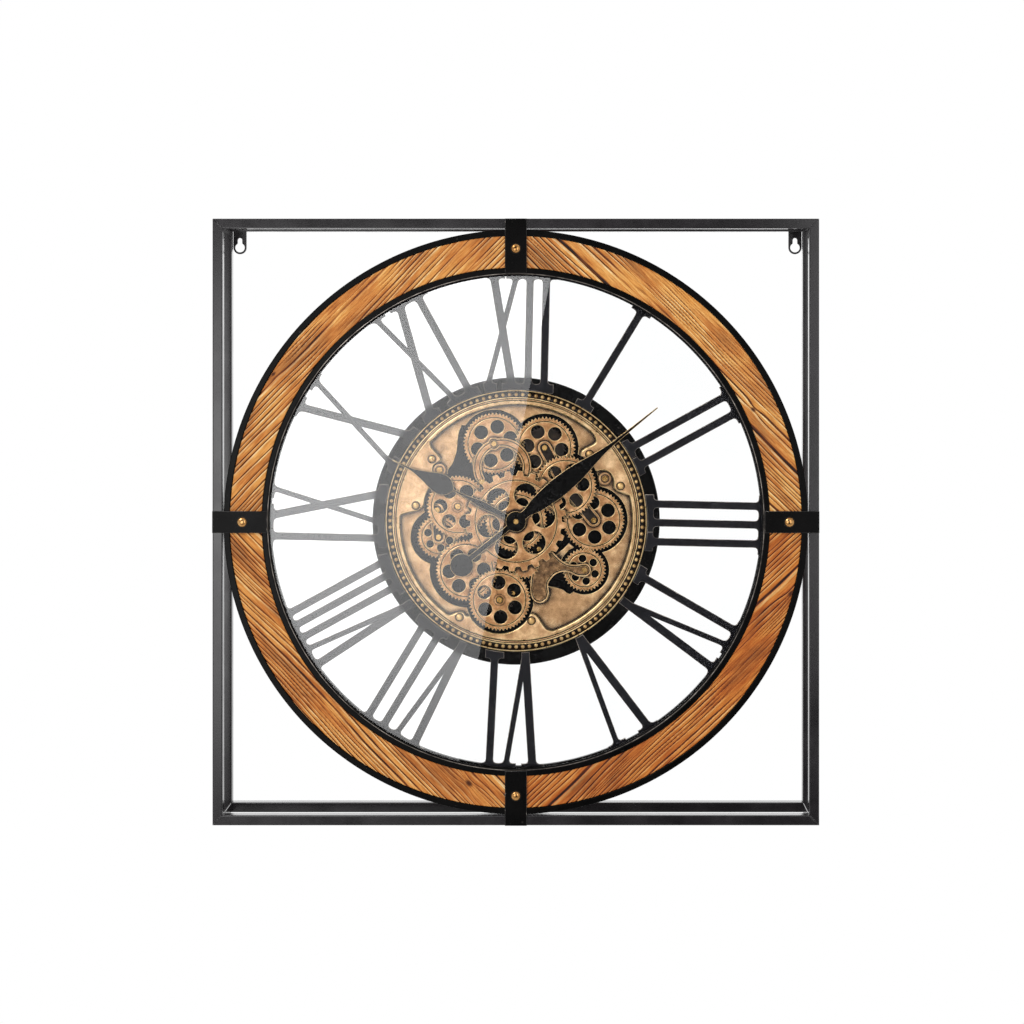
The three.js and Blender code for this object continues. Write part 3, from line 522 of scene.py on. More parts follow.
def corner_curve(here, before, after, reach, steps):
    """Points that round a corner, with one more beside each end so that flats stay flat."""
    ways = [(other - here).normalized() * reach for other in (before, after)]
    start, end = (here + way for way in ways)
    shares = [k / steps for k in range(steps + 1)]
    curve = [start * (1 - t) ** 2 + here * 2 * t * (1 - t) + end * t ** 2 for t in shares]
    return [tuple(p) for p in (here + ways[0] * BESIDE, *curve, here + ways[1] * BESIDE)]


def filleted(loop, radius, steps=5):
    """A polygon with its corners rounded by short curves."""
    made = []
    for i, point in enumerate(loop):
        after = loop[(i + 1) % len(loop)]
        made += corner_curve(Vector(point), Vector(loop[i - 1]), Vector(after), radius, steps)
    return made


def holds(loop, point):
    """Whether a point lies inside a loop."""
    inside = False
    for (ax, az), (bx, bz) in zip(loop, loop[1:] + loop[:1]):
        if (az > point[1]) != (bz > point[1]) and point[0] < (bx - ax) * (point[1] - az) / (bz - az) + ax:
            inside = not inside
    return inside


def grouped(loops):
    """Each outer loop with the holes that lie in it."""
    outers = sorted((loop for loop in loops if area(loop) > 0), key=area)
    groups = [[outer] for outer in outers]
    for hole in (loop for loop in loops if area(loop) < 0):
        next(group for group in groups if holds(group[0], hole[0])).append(hole)
    return groups


def softened(profile, radius, steps=4):
    """A closed turned profile with corners rounded as far as its sides allow, but for those on the axis."""
    made = []
    for i, point in enumerate(profile):
        after = profile[(i + 1) % len(profile)]
        here, before, after = (Vector(p) for p in (point, profile[i - 1], after))
        reach = min(radius, 0.4 * (before - here).length, 0.4 * (after - here).length)
        if point[0] < 1e-6 or reach < 1e-3:
            made.append(point)
        else:
            made += corner_curve(here, before, after, reach, steps)
    return made


def washer(outer, inner, front, back):
    """The closed profile of a plain ring, or of a disc where the inner radius is nothing."""
    return [(inner, front), (outer, front), (outer, back), (inner, back)]


# Gathering meshes
RING_STEPS = 288
KNOB_STEPS = 64
HUB_STEPS = 48
PIN_STEPS = 32
PLAIN = (0, 0, 0)
# Every face in the third finish, which in bronze is the near-black of patina and painted shade
DARK = (2, 2, 2)


class Shape:
    """Points in millimetres and faces, each with a finish slot, gathered for one mesh."""

    def __init__(self):
        self.points = []
        self.faces = []
        self.slots = []
        self.smooth = []

    def put(self, points):
        first = len(self.points)
        self.points += points
        return list(range(first, len(self.points)))

    def face(self, corners, slot, smooth):
        self.faces.append(corners)
        self.slots.append(slot)
        self.smooth.append(smooth)

    def strip(self, upper, lower, slot, smooth=True):
        """Quads between two closed rings of points; a ring of one point is a pole."""
        count = max(len(upper), len(lower))
        for i in range(count):
            j = (i + 1) % count
            if len(upper) == 1:
                corners = [upper[0], lower[i], lower[j]]
            elif len(lower) == 1:
                corners = [upper[i], lower[0], upper[j]]
            else:
                corners = [upper[i], lower[i], lower[j], upper[j]]
            self.face(corners, slot, smooth)

    def cap(self, loops, rings, slot, facing):
        """Fills an outline and its holes with triangles."""
        flat = [Vector((x, z, 0)) for loop in loops for x, z in loop]
        index = [i for ring in rings for i in ring]
        for corners in geometry.tessellate_polygon([[Vector((x, z, 0)) for x, z in loop] for loop in loops]):
            a, b, c = (flat[i] for i in corners)
            leftward = (b - a).cross(c - a).z > 0
            if leftward == (facing == FACING_BACK):
                corners = corners[::-1]
            self.face([index[i] for i in corners], slot, False)

    def plate(self, loops, front, back, edge=0.3, back_edge=0.0, slots=(0, 1, 2)):
        """A flat plate with rounded edges. Its faces, edges and walls take the three slots."""
        quarter = [math.radians(angle) for angle in (0, 45, 90)]
        levels = [(edge * (1 - math.sin(a)), front + edge * (1 - math.cos(a))) for a in quarter]
        rear = [(back_edge * (1 - math.sin(a)), back - back_edge * (1 - math.cos(a))) for a in quarter[::-1]]
        levels += rear if back_edge else [(0, back)]
        for group in grouped(loops):
            stacks = []
            for loop in group:
                turned = [inset(loop, distance) for distance, _ in levels]
                rings = [self.put([(x, depth, z) for x, z in flat])
                         for flat, (_, depth) in zip(turned, levels)]
                for k, (upper, lower) in enumerate(zip(rings, rings[1:])):
                    wall = k == len(quarter) - 1
                    self.strip(upper, lower, slots[2] if wall else slots[1], not wall)
                stacks.append((turned, rings))
            for k, facing in ((0, FACING_FRONT), (-1, FACING_BACK)):
                flats = [turned[k] for turned, _ in stacks]
                self.cap(flats, [rings[k] for _, rings in stacks], slots[0], facing)

    def turned(self, profile, centre=(0, 0), steps=RING_STEPS, slot=0):
        """A turned body about an axis along Y, from a closed profile of (radius, depth).

        A list of slots gives each stretch of the profile its own finish.
        """
        rings = []
        for radius, depth in profile:
            if radius < 1e-6:
                rings.append(self.put([(centre[0], depth, centre[1])]))
            else:
                rings.append(self.put([(x, depth, z) for x, z in circle(radius, centre, steps)]))
        slots = slot if isinstance(slot, list) else [slot] * len(rings)
        for upper, lower, finish in zip(rings, rings[1:] + rings[:1], slots):
            if len(upper) > 1 or len(lower) > 1:
                self.strip(upper, lower, finish)

    def swept(self, sections, slot=0):
        """A closed bar through sections of the same number of points."""
        rings = [self.put(section) for section in sections]
        for upper, lower in zip(rings, rings[1:]):
            self.strip(upper, lower, slot)
        self.face(rings[0][::-1], slot, False)
        self.face(rings[-1], slot, False)


def finished(name, shape, finishes):
    """The gathered shape as an object at the origin, with its faces pointing out."""
    mesh = bpy.data.meshes.new(name)
    mesh.from_pydata([(x * MM, y * MM, z * MM) for x, y, z in shape.points], [], shape.faces)
    mesh.polygons.foreach_set("material_index", shape.slots)
    mesh.polygons.foreach_set("use_smooth", shape.smooth)
    work = bmesh.new()
    work.from_mesh(mesh)
    bmesh.ops.recalc_face_normals(work, faces=work.faces)
    work.to_mesh(mesh)
    work.free()
    return hung(name, mesh, finishes)


def hung(name, mesh, finishes=()):
    made = bpy.data.objects.new(name, mesh)
    bpy.context.scene.collection.objects.link(made)
    for each in finishes:
        mesh.materials.append(each)
    return made


def piece(name, shape, finishes, body, nodes=()):
    """Makes a piece, lets it ride on its body and stand for its solids."""
    made = shape if isinstance(shape, bpy.types.Object) else finished(name, shape, finishes)
    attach(made, body)
    if nodes:
        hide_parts(*nodes)
    return made


# Depths and radii that several pieces share
TUBE = 10
FIT = 0.3
frame_half = high("front_frame").x
numeral_back = high("numeral_1").y
floor_front = high("bezel_plate").y
floor_back = high("dial_disc").y
disc_radius = high("dial_disc").x
bezel_radius = high("bezel_plate").x
pan_radius = bezel_radius + FIT
pane_radius = radii("glass_pane")[1]
pane_bore = pane_radius + FIT
PAN_WALL = 2
RIM_HEIGHT = 6.5
SHEET_HEIGHT = 3.9
BRIDGE_THICKNESS = 1.5
WHEEL_THICKNESS = 2.2
rim_front = floor_front - RIM_HEIGHT
sheet_front = floor_front - SHEET_HEIGHT
bridge_front = low("bridge_top").y


# The square frame
TUBE_ROUND = 1.1
MITRE_LINE = 0.12
END_LOOP = 0.3
HANGER_SPREAD = 0.7
HANGER_EDGE = 0.35


def tube_section():
    """The rounded section of a square tube, as pairs of a reach inward and a depth."""
    return filleted([(0, 0), (TUBE, 0), (TUBE, TUBE), (0, TUBE)], TUBE_ROUND)


def square_of_tubes(front):
    """Four tubes with mitred ends, turned round the axis of the hands."""
    shape = Shape()
    for quarter in range(4):
        c, s = ((1, 0), (0, 1), (-1, 0), (0, -1))[quarter]
        sections = []
        for side, back_off in ((-1, 0), (-1, END_LOOP), (1, END_LOOP), (1, 0)):
            section = []
            for reach, depth in tube_section():
                along = side * (frame_half - reach - MITRE_LINE - back_off)
                up = frame_half - reach
                section.append((along * c - up * s, front + depth, along * s + up * c))
            sections.append(section)
        shape.swept(sections)
    return shape


def build_frame():
    for node in ("front_frame", "rear_frame"):
        shape = square_of_tubes(low(node).y)
        piece(f"{node}_tubes", shape, [STEEL], BODY, [node])
    posts = [node for node in frame["nodes"] if node.startswith("corner_post")]
    for node in posts:
        shape = Shape()
        corner, far = low(node), high(node)
        section = [(corner.x + reach, corner.z + up) for reach, up in tube_section()]
        depths = (corner.y, corner.y + END_LOOP, far.y - END_LOOP, far.y)
        shape.swept([[(x, y, z) for x, z in section] for y in depths])
        piece(f"{node}_tube", shape, [STEEL], BODY, [node])
    for node in ("hanger_left", "hanger_right"):
        shape = Shape()
        front, back = low(node).y, high(node).y
        loops = [inset(loop, -HANGER_SPREAD) if area(loop) > 0 else loop for loop in outlines(node, front)]
        shape.plate(loops, front, back, HANGER_EDGE, HANGER_EDGE, PLAIN)
        piece(f"{node}_plate", shape, [STEEL], BODY, [node])


# The ring: hoops, glass, boards and straps
HOOP_ROUND = 0.7
PANE_LEDGE = 1
PANE_BEVEL = 0.7
PANE_BACK_BEVEL = 0.4
GLAZING_SUNK = 0.25
GLAZING_LINE = 0.8
GLAZING_BEVEL = 0.4


def build_hoops():
    inner, outer = radii("outer_hoop")
    front, back = low("outer_hoop").y, high("outer_hoop").y
    shape = Shape()
    shape.turned(softened(washer(outer, inner, front, back), HOOP_ROUND))
    piece("outer_hoop_band", shape, [PAINT], BODY, ["outer_hoop"])
    lip, outer = radii("inner_hoop")
    seat = pane_bore - PANE_LEDGE
    seat_depth = high("glass_pane").y + 0.1
    profile = [(outer, front), (outer, back), (lip, back), (lip, numeral_back), (seat, numeral_back),
               (seat, seat_depth), (pane_bore, seat_depth), (pane_bore, front)]
    shape = Shape()
    shape.turned(softened(profile, HOOP_ROUND))
    piece("inner_hoop_band", shape, [PAINT], BODY, ["inner_hoop"])


def build_pane():
    """The glass disc with its ground and bevelled edge."""
    front, back = low("glass_pane").y, high("glass_pane").y
    bevel = pane_radius - PANE_BEVEL
    back_bevel = pane_radius - PANE_BACK_BEVEL
    profile = [(0, front), (bevel - 0.5, front), (bevel, front), (pane_radius, front + PANE_BEVEL),
               (pane_radius, back - PANE_BACK_BEVEL), (back_bevel, back), (back_bevel - 0.4, back),
               (0, back)]
    shape = Shape()
    shape.turned(profile, slot=[0, 0, 1, 1, 1, 0, 0, 0])
    piece("glass_disc", shape, [GLASS, GLASS_EDGE], BODY, ["glass_pane"])


def build_glazing_bead():
    """The thin ring that holds the pane in its hoop, with a painted highlight as a bright line along its
    outer edge.
    """
    lip = radii("inner_hoop")[0]
    front, seat = low("inner_hoop").y + GLAZING_SUNK, low("glass_pane").y
    profile = [(lip, seat), (pane_bore, seat), (pane_bore, front), (pane_bore - GLAZING_LINE, front),
               (lip + GLAZING_BEVEL, front), (lip, front + GLAZING_BEVEL)]
    shape = Shape()
    shape.turned(profile, slot=[0, 0, 1, 0, 0, 0])
    piece("glazing_bead", shape, [PAINT, STEEL_EDGE], BODY)


# Each board's tilt, its knots as (along, across, radius), its smooth stretch as (along, across, reach)
# and the share of a deeper stain
BOARDS = {
    "wood_top_left": (46, [(-66, 7, 2.5)], (0, 0, 90), 0.2),
    "wood_top_right": (-44, [(87, -24, 3)], (-10, 0, 95), 0.1),
    "wood_bottom_left": (-46, [(149, 54, 4)], (150, 40, 60), 0.4),
    "wood_bottom_right": (44, [(142, 27, 4)], (60, 10, 60), 0.8),
}
GRAIN_SPACING = 4.6
GRAIN_DEPTH = 1.0
GRAIN_SEED = 11.3
SAMPLE = 0.5
SAWN_BACK = 0.45
WORN_EDGE = 0.25
# Height across one band of the grain: a rise, a ridge, a steep fall into the groove and a slow end
GRAIN_PROFILE = [(0, 0.5), (0.42, 0.6), (0.5, 1), (0.66, 0.95),
                 (0.72, 0), (0.86, 0.05), (0.94, 0.45), (1, 0.5)]


def grain_height(across, along, seed, knots, smooth):
    """Height of the brushed grain from 0 in the grooves to 1 on the ridges, and the share of knot.

    The lengths over which the noise changes are in millimetres too.
    """
    bent = across + 5 * noise.noise((across / 60, along / 170, seed))
    bent += 1.2 * noise.noise((across / 9, along / 60, seed + 5))
    core = 0
    calm = 0
    for place, side, size in knots:
        near = math.exp(-(((along - place) / (3.2 * size)) ** 2 + ((across - side) / (1.9 * size)) ** 2))
        bent += 1.2 * size * near * math.tanh((across - side) / size)
        calm = max(calm, near)
        core = max(core, math.exp(-(((along - place) ** 2 + (1.6 * (across - side)) ** 2) / size ** 2) ** 2))
    place, side, reach = smooth
    calm = max(calm, math.exp(-(((along - place) / reach) ** 2 + ((across - side) / 45) ** 2) ** 2))
    phase = bent / GRAIN_SPACING + 4 * noise.noise((bent / 40, seed + 9, 0))
    phase += 0.9 * noise.noise((bent / 8, seed, 0))
    saw = phase - math.floor(phase)
    ridge = next(a[1] + (b[1] - a[1]) * (saw - a[0]) / (b[0] - a[0])
                 for a, b in zip(GRAIN_PROFILE, GRAIN_PROFILE[1:]) if saw <= b[0])
    patchy = 1.15 + 1.2 * noise.noise((bent / 14, along / 60, seed + 3)) - 0.6 * calm
    rough = 0.2 * noise.noise((across / 1.3, along / 16, seed + 7))
    height = 0.55 + (ridge - 0.55) * min(1, max(0.25, patchy)) + rough
    return min(1, max(0, height)), min(1, core)


def board_sector(node):
    """The angle of a board's middle, and its first and last angle."""
    corners = [(v.co.x / MM, v.co.z / MM) for v in frame["nodes"][node].data.vertices]
    centre = math.atan2(low(node).z + high(node).z, low(node).x + high(node).x)
    turns = [(math.atan2(z, x) - centre + math.pi) % (2 * math.pi) - math.pi for x, z in corners]
    return centre, centre + min(turns), centre + max(turns)


def brushed_face(node, seed):
    """Rows over a board's face, each spot with its point, its grain, its share of knot and its place."""
    tilt, knots, smooth, _ = BOARDS[node]
    inner, outer = radii(node)
    front = low(node).y
    centre, start, end = board_sector(node)
    rows = round((outer - inner) / SAMPLE) + 1
    columns = round((end - start) * outer / SAMPLE) + 1
    c, s = math.cos(math.radians(tilt)), math.sin(math.radians(tilt))
    middle_x = (inner + outer) / 2 * math.cos(centre)
    middle_z = (inner + outer) / 2 * math.sin(centre)
    made = []
    for i in range(rows):
        radius = inner + (outer - inner) * i / (rows - 1)
        line = []
        for k in range(columns):
            angle = start + (end - start) * k / (columns - 1)
            x, z = radius * math.cos(angle), radius * math.sin(angle)
            along = (x - middle_x) * c + (z - middle_z) * s
            across = -(x - middle_x) * s + (z - middle_z) * c
            height, core = grain_height(across, along, seed, knots, smooth)
            rim = min(i, rows - 1 - i, k, columns - 1 - k)
            sunk = GRAIN_DEPTH * (1 - height) + (WORN_EDGE if rim == 0 else 0)
            line.append(((x, front + sunk, z), height, core, (across * MM, along * MM, seed)))
        made.append(line)
    return made


def build_board(node, seed):
    """One quarter of the ring: a brushed face in relief on a plain back."""
    face = brushed_face(node, seed)
    rows, columns = len(face), len(face[0])
    spots = [spot for line in face for spot in line]
    shape = Shape()
    grid = [shape.put([spot[0] for spot in line]) for line in face]
    for lower, upper in zip(grid, grid[1:]):
        for k in range(columns - 1):
            shape.face([lower[k], lower[k + 1], upper[k + 1], upper[k]], 0, True)
    ends = [line[-1] for line in grid[1:]]
    starts = [line[0] for line in grid[-2:0:-1]]
    edge = grid[0] + ends + grid[-1][-2::-1] + starts
    back = high(node).y
    rear = shape.put([(shape.points[i][0], back, shape.points[i][2]) for i in edge])
    shape.strip(edge, rear, 0, False)
    low_edge, high_edge = rear[:columns], rear[columns + rows - 2:2 * columns + rows - 2][::-1]
    for k in range(columns - 1):
        shape.face([low_edge[k + 1], low_edge[k], high_edge[k], high_edge[k + 1]], 0, False)
    made = finished(f"{node}_board", shape, [PINE])
    mark_board(made.data.attributes, BOARDS[node][3], spots, [spots[i][3] for i in edge])
    piece(made.name, made, [], BODY, [node])


def mark_board(attributes, stain, spots, rear):
    """Tells the pine its grain, knots, stain and place at each point of the face and of the sawn back."""
    marks = {"grain": [spot[1] for spot in spots] + [SAWN_BACK] * len(rear),
             "knot": [spot[2] for spot in spots] + [0] * len(rear),
             "stain": [stain] * (len(spots) + len(rear))}
    for name, values in marks.items():
        attributes.new(name, "FLOAT", "POINT").data.foreach_set("value", values)
    places = [value for place in [spot[3] for spot in spots] + rear for value in place]
    attributes.new("board", "FLOAT_VECTOR", "POINT").data.foreach_set("vector", places)


STRAP_EDGE = 0.4
BOLT_SKIRT = 0.5
BOLT_SHANK = 2


def build_straps():
    """The four straps, each with its dome-head bolt on a dark washer."""
    for hour in ("12", "3", "6", "9"):
        strap, bolt = f"strap_{hour}", f"strap_bolt_{hour}"
        shape = Shape()
        seat = low(strap).y
        outer = max(outlines(strap, seat), key=area)
        shape.plate([outer], seat, high(strap).y, STRAP_EDGE)
        piece(f"{strap}_plate", shape, STRAP_PLATE, BODY, [strap])
        corner, far = low(bolt), high(bolt)
        centre = ((corner.x + far.x) / 2, (corner.z + far.z) / 2)
        head = (far.x - corner.x) / 2 + 0.2
        rise = seat - corner.y - BOLT_SKIRT
        arc = [math.radians(angle) for angle in range(75, -1, -15)]
        dome = [(head * math.cos(a), seat - BOLT_SKIRT - rise * math.sin(a)) for a in arc]
        shank = [(BOLT_SHANK, seat), (BOLT_SHANK, far.y), (0, far.y)]
        shape = Shape()
        shape.turned([(0, corner.y)] + dome + [(head, seat)] + shank, centre, PIN_STEPS)
        # The washer round the head is in the dark finish, patina and painted shade
        shape.turned(softened(washer(head + 0.8, head - 1, seat - 0.35, seat), 0.2), centre, PIN_STEPS, 1)
        piece(f"{bolt}_head", shape, [COPPER, BRONZE_DARK], BODY, [bolt])


# The dial
POST_RADIUS = 3
POST_GAP = 0.3
BUSH_WALL = 2.1


def build_numerals():
    for hour in range(1, 13):
        node = f"numeral_{hour}"
        shape = Shape()
        front, back = low(node).y, high(node).y
        shape.plate(outlines(node, front), front, back, edge=0.45, back_edge=0.2)
        piece(f"{node}_plate", shape, NUMERAL_PLATE, BODY, [node])


def posts_at(depth):
    """Centres of the dial's round posts that end at one depth."""
    found = [as_circle(loop) for loop in outlines("dial_disc", depth)]
    return [spot[0] for spot in found if spot and spot[1] < POST_RADIUS + 1]


def build_dial():
    """The pan with its flange, the bush of the hands and the posts of the wheels."""
    bush_bore, _ = radii("dial_disc")
    bush = bush_bore + BUSH_WALL
    bush_front = low("dial_disc").y
    wall = pan_radius + PAN_WALL
    flange_back = numeral_back + PAN_WALL
    profile = [(disc_radius, numeral_back), (disc_radius, flange_back), (wall, flange_back),
               (wall, floor_back), (bush_bore, floor_back), (bush_bore, bush_front), (bush, bush_front),
               (bush, floor_front), (pan_radius, floor_front), (pan_radius, numeral_back)]
    shape = Shape()
    shape.turned(softened(profile, 0.6))
    for depth in post_depths():
        for centre in posts_at(depth):
            post = washer(POST_RADIUS, 0, depth, floor_front + 1)
            shape.turned(softened(post, 0.4), centre, PIN_STEPS, 1)
    piece("dial_pan", shape, [PAINT, BRASS], BODY, ["dial_disc"])


def post_depths():
    """Where the posts end: those of the front wheels, then those that carry the bridges."""
    return low("left_upper_wheel").y - POST_GAP, bridge_front + BRIDGE_THICKNESS


# Places on the bezel read from the front, as (x, z)
RIVETS = [(72.96, 66.32), (103.84, 34.45), (15.18, -99.53),
          (-99.87, 15.02), (-56.53, -96.04), (-83.93, 61.34)]
LUGS = [(88.4, 41.92), (-76.46, 50.38)]
PAN_SCREWS = [(-3.4, -73.0), (22.6, -29.0)]
COCK_FOOT = (23.9, -73.3)
RIVET_SEAT = 4.3
LUG_RADIUS = 7.2
LUG_RING = (6.3, 4.2)
FOOT_RADIUS = 8.5
BAND_INNER = 119.7
BEAD_CIRCLE = 125.7
BEAD_RADIUS = 1.9
BEAD_COUNT = 120
CHANNEL = 123.0


def add_beaded_band(shape):
    """A step and a dark channel for the beads between two bright lines: the channel in patina and painted
    shade, the lines in the pale edge finish, partly a painted highlight.
    """
    shape.turned(washer(bezel_radius - 0.2, BAND_INNER - 0.2, rim_front + 1.2, floor_front), slot=2)
    step = washer(CHANNEL - 1.5, BAND_INNER + 0.5, rim_front - 0.1, rim_front + 1.5)
    shape.turned(softened(step, 0.25))
    for outer in (CHANNEL, bezel_radius):
        line = washer(outer, outer - 0.9, rim_front - 0.6, rim_front + 1.5)
        shape.turned(softened(line, 0.3), slot=1)


def build_bezel():
    """The cast bezel: sheet, raised rim, beaded band, rings on its lugs and the cock."""
    shape = Shape()
    rim = [loop for loop in outlines("bezel_plate", rim_front) if area(loop) < 0]
    shape.plate([circle(BAND_INNER, steps=256)] + rim, rim_front, floor_front - 0.1, edge=1.1)
    shape.plate(outlines("bezel_plate", sheet_front), sheet_front, floor_front, edge=0.55)
    add_beaded_band(shape)
    for centre in RIVETS:
        # Each rivet stands on a seat in the dark finish, a ring of painted shade round its head
        seat = washer(RIVET_SEAT, 0, rim_front - 0.1, rim_front + 0.5)
        shape.turned(softened(seat, 0.05), centre, PIN_STEPS, 2)
    for centre in LUGS:
        lug = washer(LUG_RADIUS, 0, sheet_front - 0.8, floor_front)
        ring = washer(*LUG_RING, sheet_front - 1.6, sheet_front)
        for profile in (lug, ring):
            shape.turned(softened(profile, 0.4), centre, HUB_STEPS)
    cock = outlines("bezel_plate", bridge_front)
    add_rimmed(shape, cock, bridge_front, bridge_front + BRIDGE_THICKNESS, rim=1.2, line=1.1, field=3)
    # The foot under the cock is in the dark finish, painted shade
    shape.turned(washer(FOOT_RADIUS, 0, bridge_front + 0.8, floor_front), COCK_FOOT, PIN_STEPS, 2)
    piece("bezel_casting", shape, BRONZE_PLATE, BODY, ["bezel_plate"])


def add_rimmed(shape, loops, front, back, rim, line=0, field=0):
    """A thin plate with a raised rim round a dark lower face.

    Where a dark line is left inside the rim, the rest is a raised field with its own finish.
    """
    shape.plate(loops, front + 0.6, back, edge=0.15, slots=DARK)
    for loop in loops:
        shape.plate(rim_band(loop, rim), front, back - 0.2, edge=0.35)
    if line:
        inner = [inset(loop, rim + line) for loop in loops]
        shape.plate(inner, front + 0.2, back - 0.2, edge=0.2, slots=(field, 1, 2))


def rim_band(loop, rim):
    """A band as wide as the rim along the inside of an outline."""
    if area(loop) > 0:
        return [loop, inset(loop, rim)[::-1]]
    return [inset(loop, rim)[::-1], loop]


def build_bridges():
    for node in ("bridge_top", "bridge_right", "bridge_left"):
        shape = Shape()
        front, back = low(node).y, high(node).y
        if node == "bridge_top":
            add_rimmed(shape, outlines(node, front), front, back, rim=1.3, line=1.0)
        else:
            add_rimmed(shape, outlines(node, front), front, back, rim=1.9)
        piece(f"{node}_plate", shape, GEAR_PLATE, BODY, [node])


# The wheels
GROOVE = 0.8
COARSE_MARGIN = 4.7
FINE_MARGIN = 2.2
SLEEVE_WALL = 3
BOSS_WALL = 1.8
SHAFT_RADIUS = 3
TOOTHED_POINTS = 60
BOSSED = ("left_upper_wheel", "right_upper_wheel", "bottom_wheel", "bottom_left_wheel", "top_left_wheel")


def add_toothed(shape, loops, centre, front, back, margin):
    """A wheel's face: a toothed rim, a groove and a web with its holes."""
    toothed = max(loops, key=area)
    holes = [loop for loop in loops if area(loop) < 0]
    groove = min(math.dist(point, centre) for point in toothed) - margin
    shape.plate([toothed, circle(groove + GROOVE / 2, centre, 128, True)], front, back, edge=0.3)
    shape.plate([circle(groove - GROOVE / 2, centre, 128)] + holes, front, back, edge=0.6)
    # The groove's floor is in the dark finish: painted shade at the bottom of the groove
    floor = [circle(groove + 1, centre), circle(groove - 1, centre, hole=True)]
    shape.plate(floor, front + 0.7, back - 0.1, edge=0.1, slots=DARK)


def slab_fronts(node):
    """Depths of a wheel's toothed faces, from the front; an outline with teeth has many points."""
    mesh = frame["nodes"][node].data
    faces = [face for face in mesh.polygons if face.normal.y < -0.9]
    depths = sorted({round(mesh.vertices[face.vertices[0]].co.y / MM, 2) for face in faces})
    return [y for y in depths
            if any(len(loop) > TOOTHED_POINTS and not as_circle(loop) for loop in outlines(node, y))]


def build_wheel(node):
    """A wheel's toothed slabs on one sleeve, with a boss or a shaft where it has one."""
    centre = pivot(f"{node}_turn")
    shape = Shape()
    fronts = slab_fronts(node)
    first, last = fronts[0], fronts[-1]
    for front in fronts:
        loops = outlines(node, front)
        margin = COARSE_MARGIN if node == "centre_wheel" and front == first else FINE_MARGIN
        if len(loops) > 2:
            add_toothed(shape, loops, centre, front, front + WHEEL_THICKNESS, margin)
        else:
            # Slabs behind the first are wholly in the dark finish, painted shade where the front slab covers
            # them
            slots = (0, 1, 2) if front == first else DARK
            shape.plate(loops, front, front + WHEEL_THICKNESS, edge=0.3, slots=slots)
    rounds = [as_circle(loop) for loop in outlines(node, first)]
    eye = min((found[1] for found in rounds if found), default=SHAFT_RADIUS)
    # The sleeve between the slabs is in the dark finish too, painted shade
    if len(fronts) > 1:
        shape.turned(washer(eye + SLEEVE_WALL, eye, first + 1, last + 1), centre, HUB_STEPS, 2)
    if node in BOSSED:
        boss = washer(eye + BOSS_WALL, eye, first - 0.5, first + 1)
        shape.turned(softened(boss, 0.3), centre, HUB_STEPS)
    if node == "drive_pinion":
        shaft = washer(SHAFT_RADIUS, 0, first - 0.1, high(node).y)
        shape.turned(softened(shaft, 0.4), centre, PIN_STEPS, 1)
    piece(f"{node}_gear", shape, GEAR_PLATE, node, [node])


# The hands
HAND_THICKNESS = 1.2
HAND_SHAFTS = {"minute_hand": 1.9, "hour_hand": 4.3}


def build_hands():
    for node, shaft in HAND_SHAFTS.items():
        shape = Shape()
        front = low(node).y
        loops = [loop for loop in outlines(node, front) if area(loop) > 0]
        shape.plate(loops, front, front + HAND_THICKNESS, edge=0.3, slots=(0, 1, 0))
        shape.turned(washer(shaft, 0, front + 1, high(node).y), steps=PIN_STEPS)
        piece(f"{node}_blade", shape, [PAINT, BRONZE_EDGE], node, [node])
    shape = Shape()
    nut, far = low("hand_nut"), high("hand_nut")
    shape.turned(softened(washer(far.x, 0, nut.y, far.y), 0.5), steps=PIN_STEPS)
    piece("hand_nut_cap", shape, [BRASS], "minute_hand", ["hand_nut"])


# The movement and the motor behind the dial
CASE_ROUND = 3
CASE_EDGE = 0.8
BAY_DEPTH = 15
CONTACT_RADIUS = 2.7
CONTACT_HEIGHT = 1.2
KNOB_RIB = 0.55
KNOB_LEDGE = 2.4
KNOB_RIBS = 28


def build_case(node):
    """A moulded case with rounded corners and an open bay for its cell."""
    front, back = low(node).y, high(node).y
    outer = filleted(box_loop(node), CASE_ROUND)
    holes = [loop for loop in outlines(node, back, FACING_BACK) if area(loop) < 0]
    bay_floor = back - BAY_DEPTH
    shape = Shape()
    shape.plate([outer] + holes, bay_floor, back, edge=0.0, back_edge=CASE_EDGE, slots=PLAIN)
    shape.plate([outer], front, bay_floor, edge=CASE_EDGE, slots=PLAIN)
    piece(f"{node}_moulding", shape, [ABS], BODY, [node])


def box_loop(node):
    corner, far = low(node), high(node)
    return [(corner.x, corner.z), (far.x, corner.z), (far.x, far.z), (corner.x, far.z)]


def build_cell(node):
    """A dry cell lying along x, with bare metal ends and its raised contact on the right."""
    corner, far = low(node), high(node)
    radius = (far.y - corner.y) / 2
    depth, height = (corner.y + far.y) / 2, (corner.z + far.z) / 2
    start, end = corner.x, far.x
    shoulder = end - CONTACT_HEIGHT
    crimp = [(radius - 1.6, start), (radius - 1.2, start + 0.4), (radius - 0.4, start + 0.4)]
    sleeve = [(radius, start + 0.8), (radius, shoulder - 0.6), (radius - 0.5, shoulder)]
    contact = [(CONTACT_RADIUS + 0.2, shoulder), (CONTACT_RADIUS, shoulder + 0.2),
               (CONTACT_RADIUS, end - 0.2), (CONTACT_RADIUS - 0.2, end)]
    profile = [(0, start)] + crimp + sleeve + [(radius - 1.2, shoulder)] + contact + [(0, end)]
    shape = Shape()
    shape.turned(profile, steps=HUB_STEPS, slot=[1, 1, 1, 0, 0, 0, 0, 1, 1, 1, 1, 1, 1])
    shape.points = [(y, depth + x, height + z) for x, y, z in shape.points]
    piece(f"{node}_body", shape, [SLEEVE, TIN], BODY, [node])


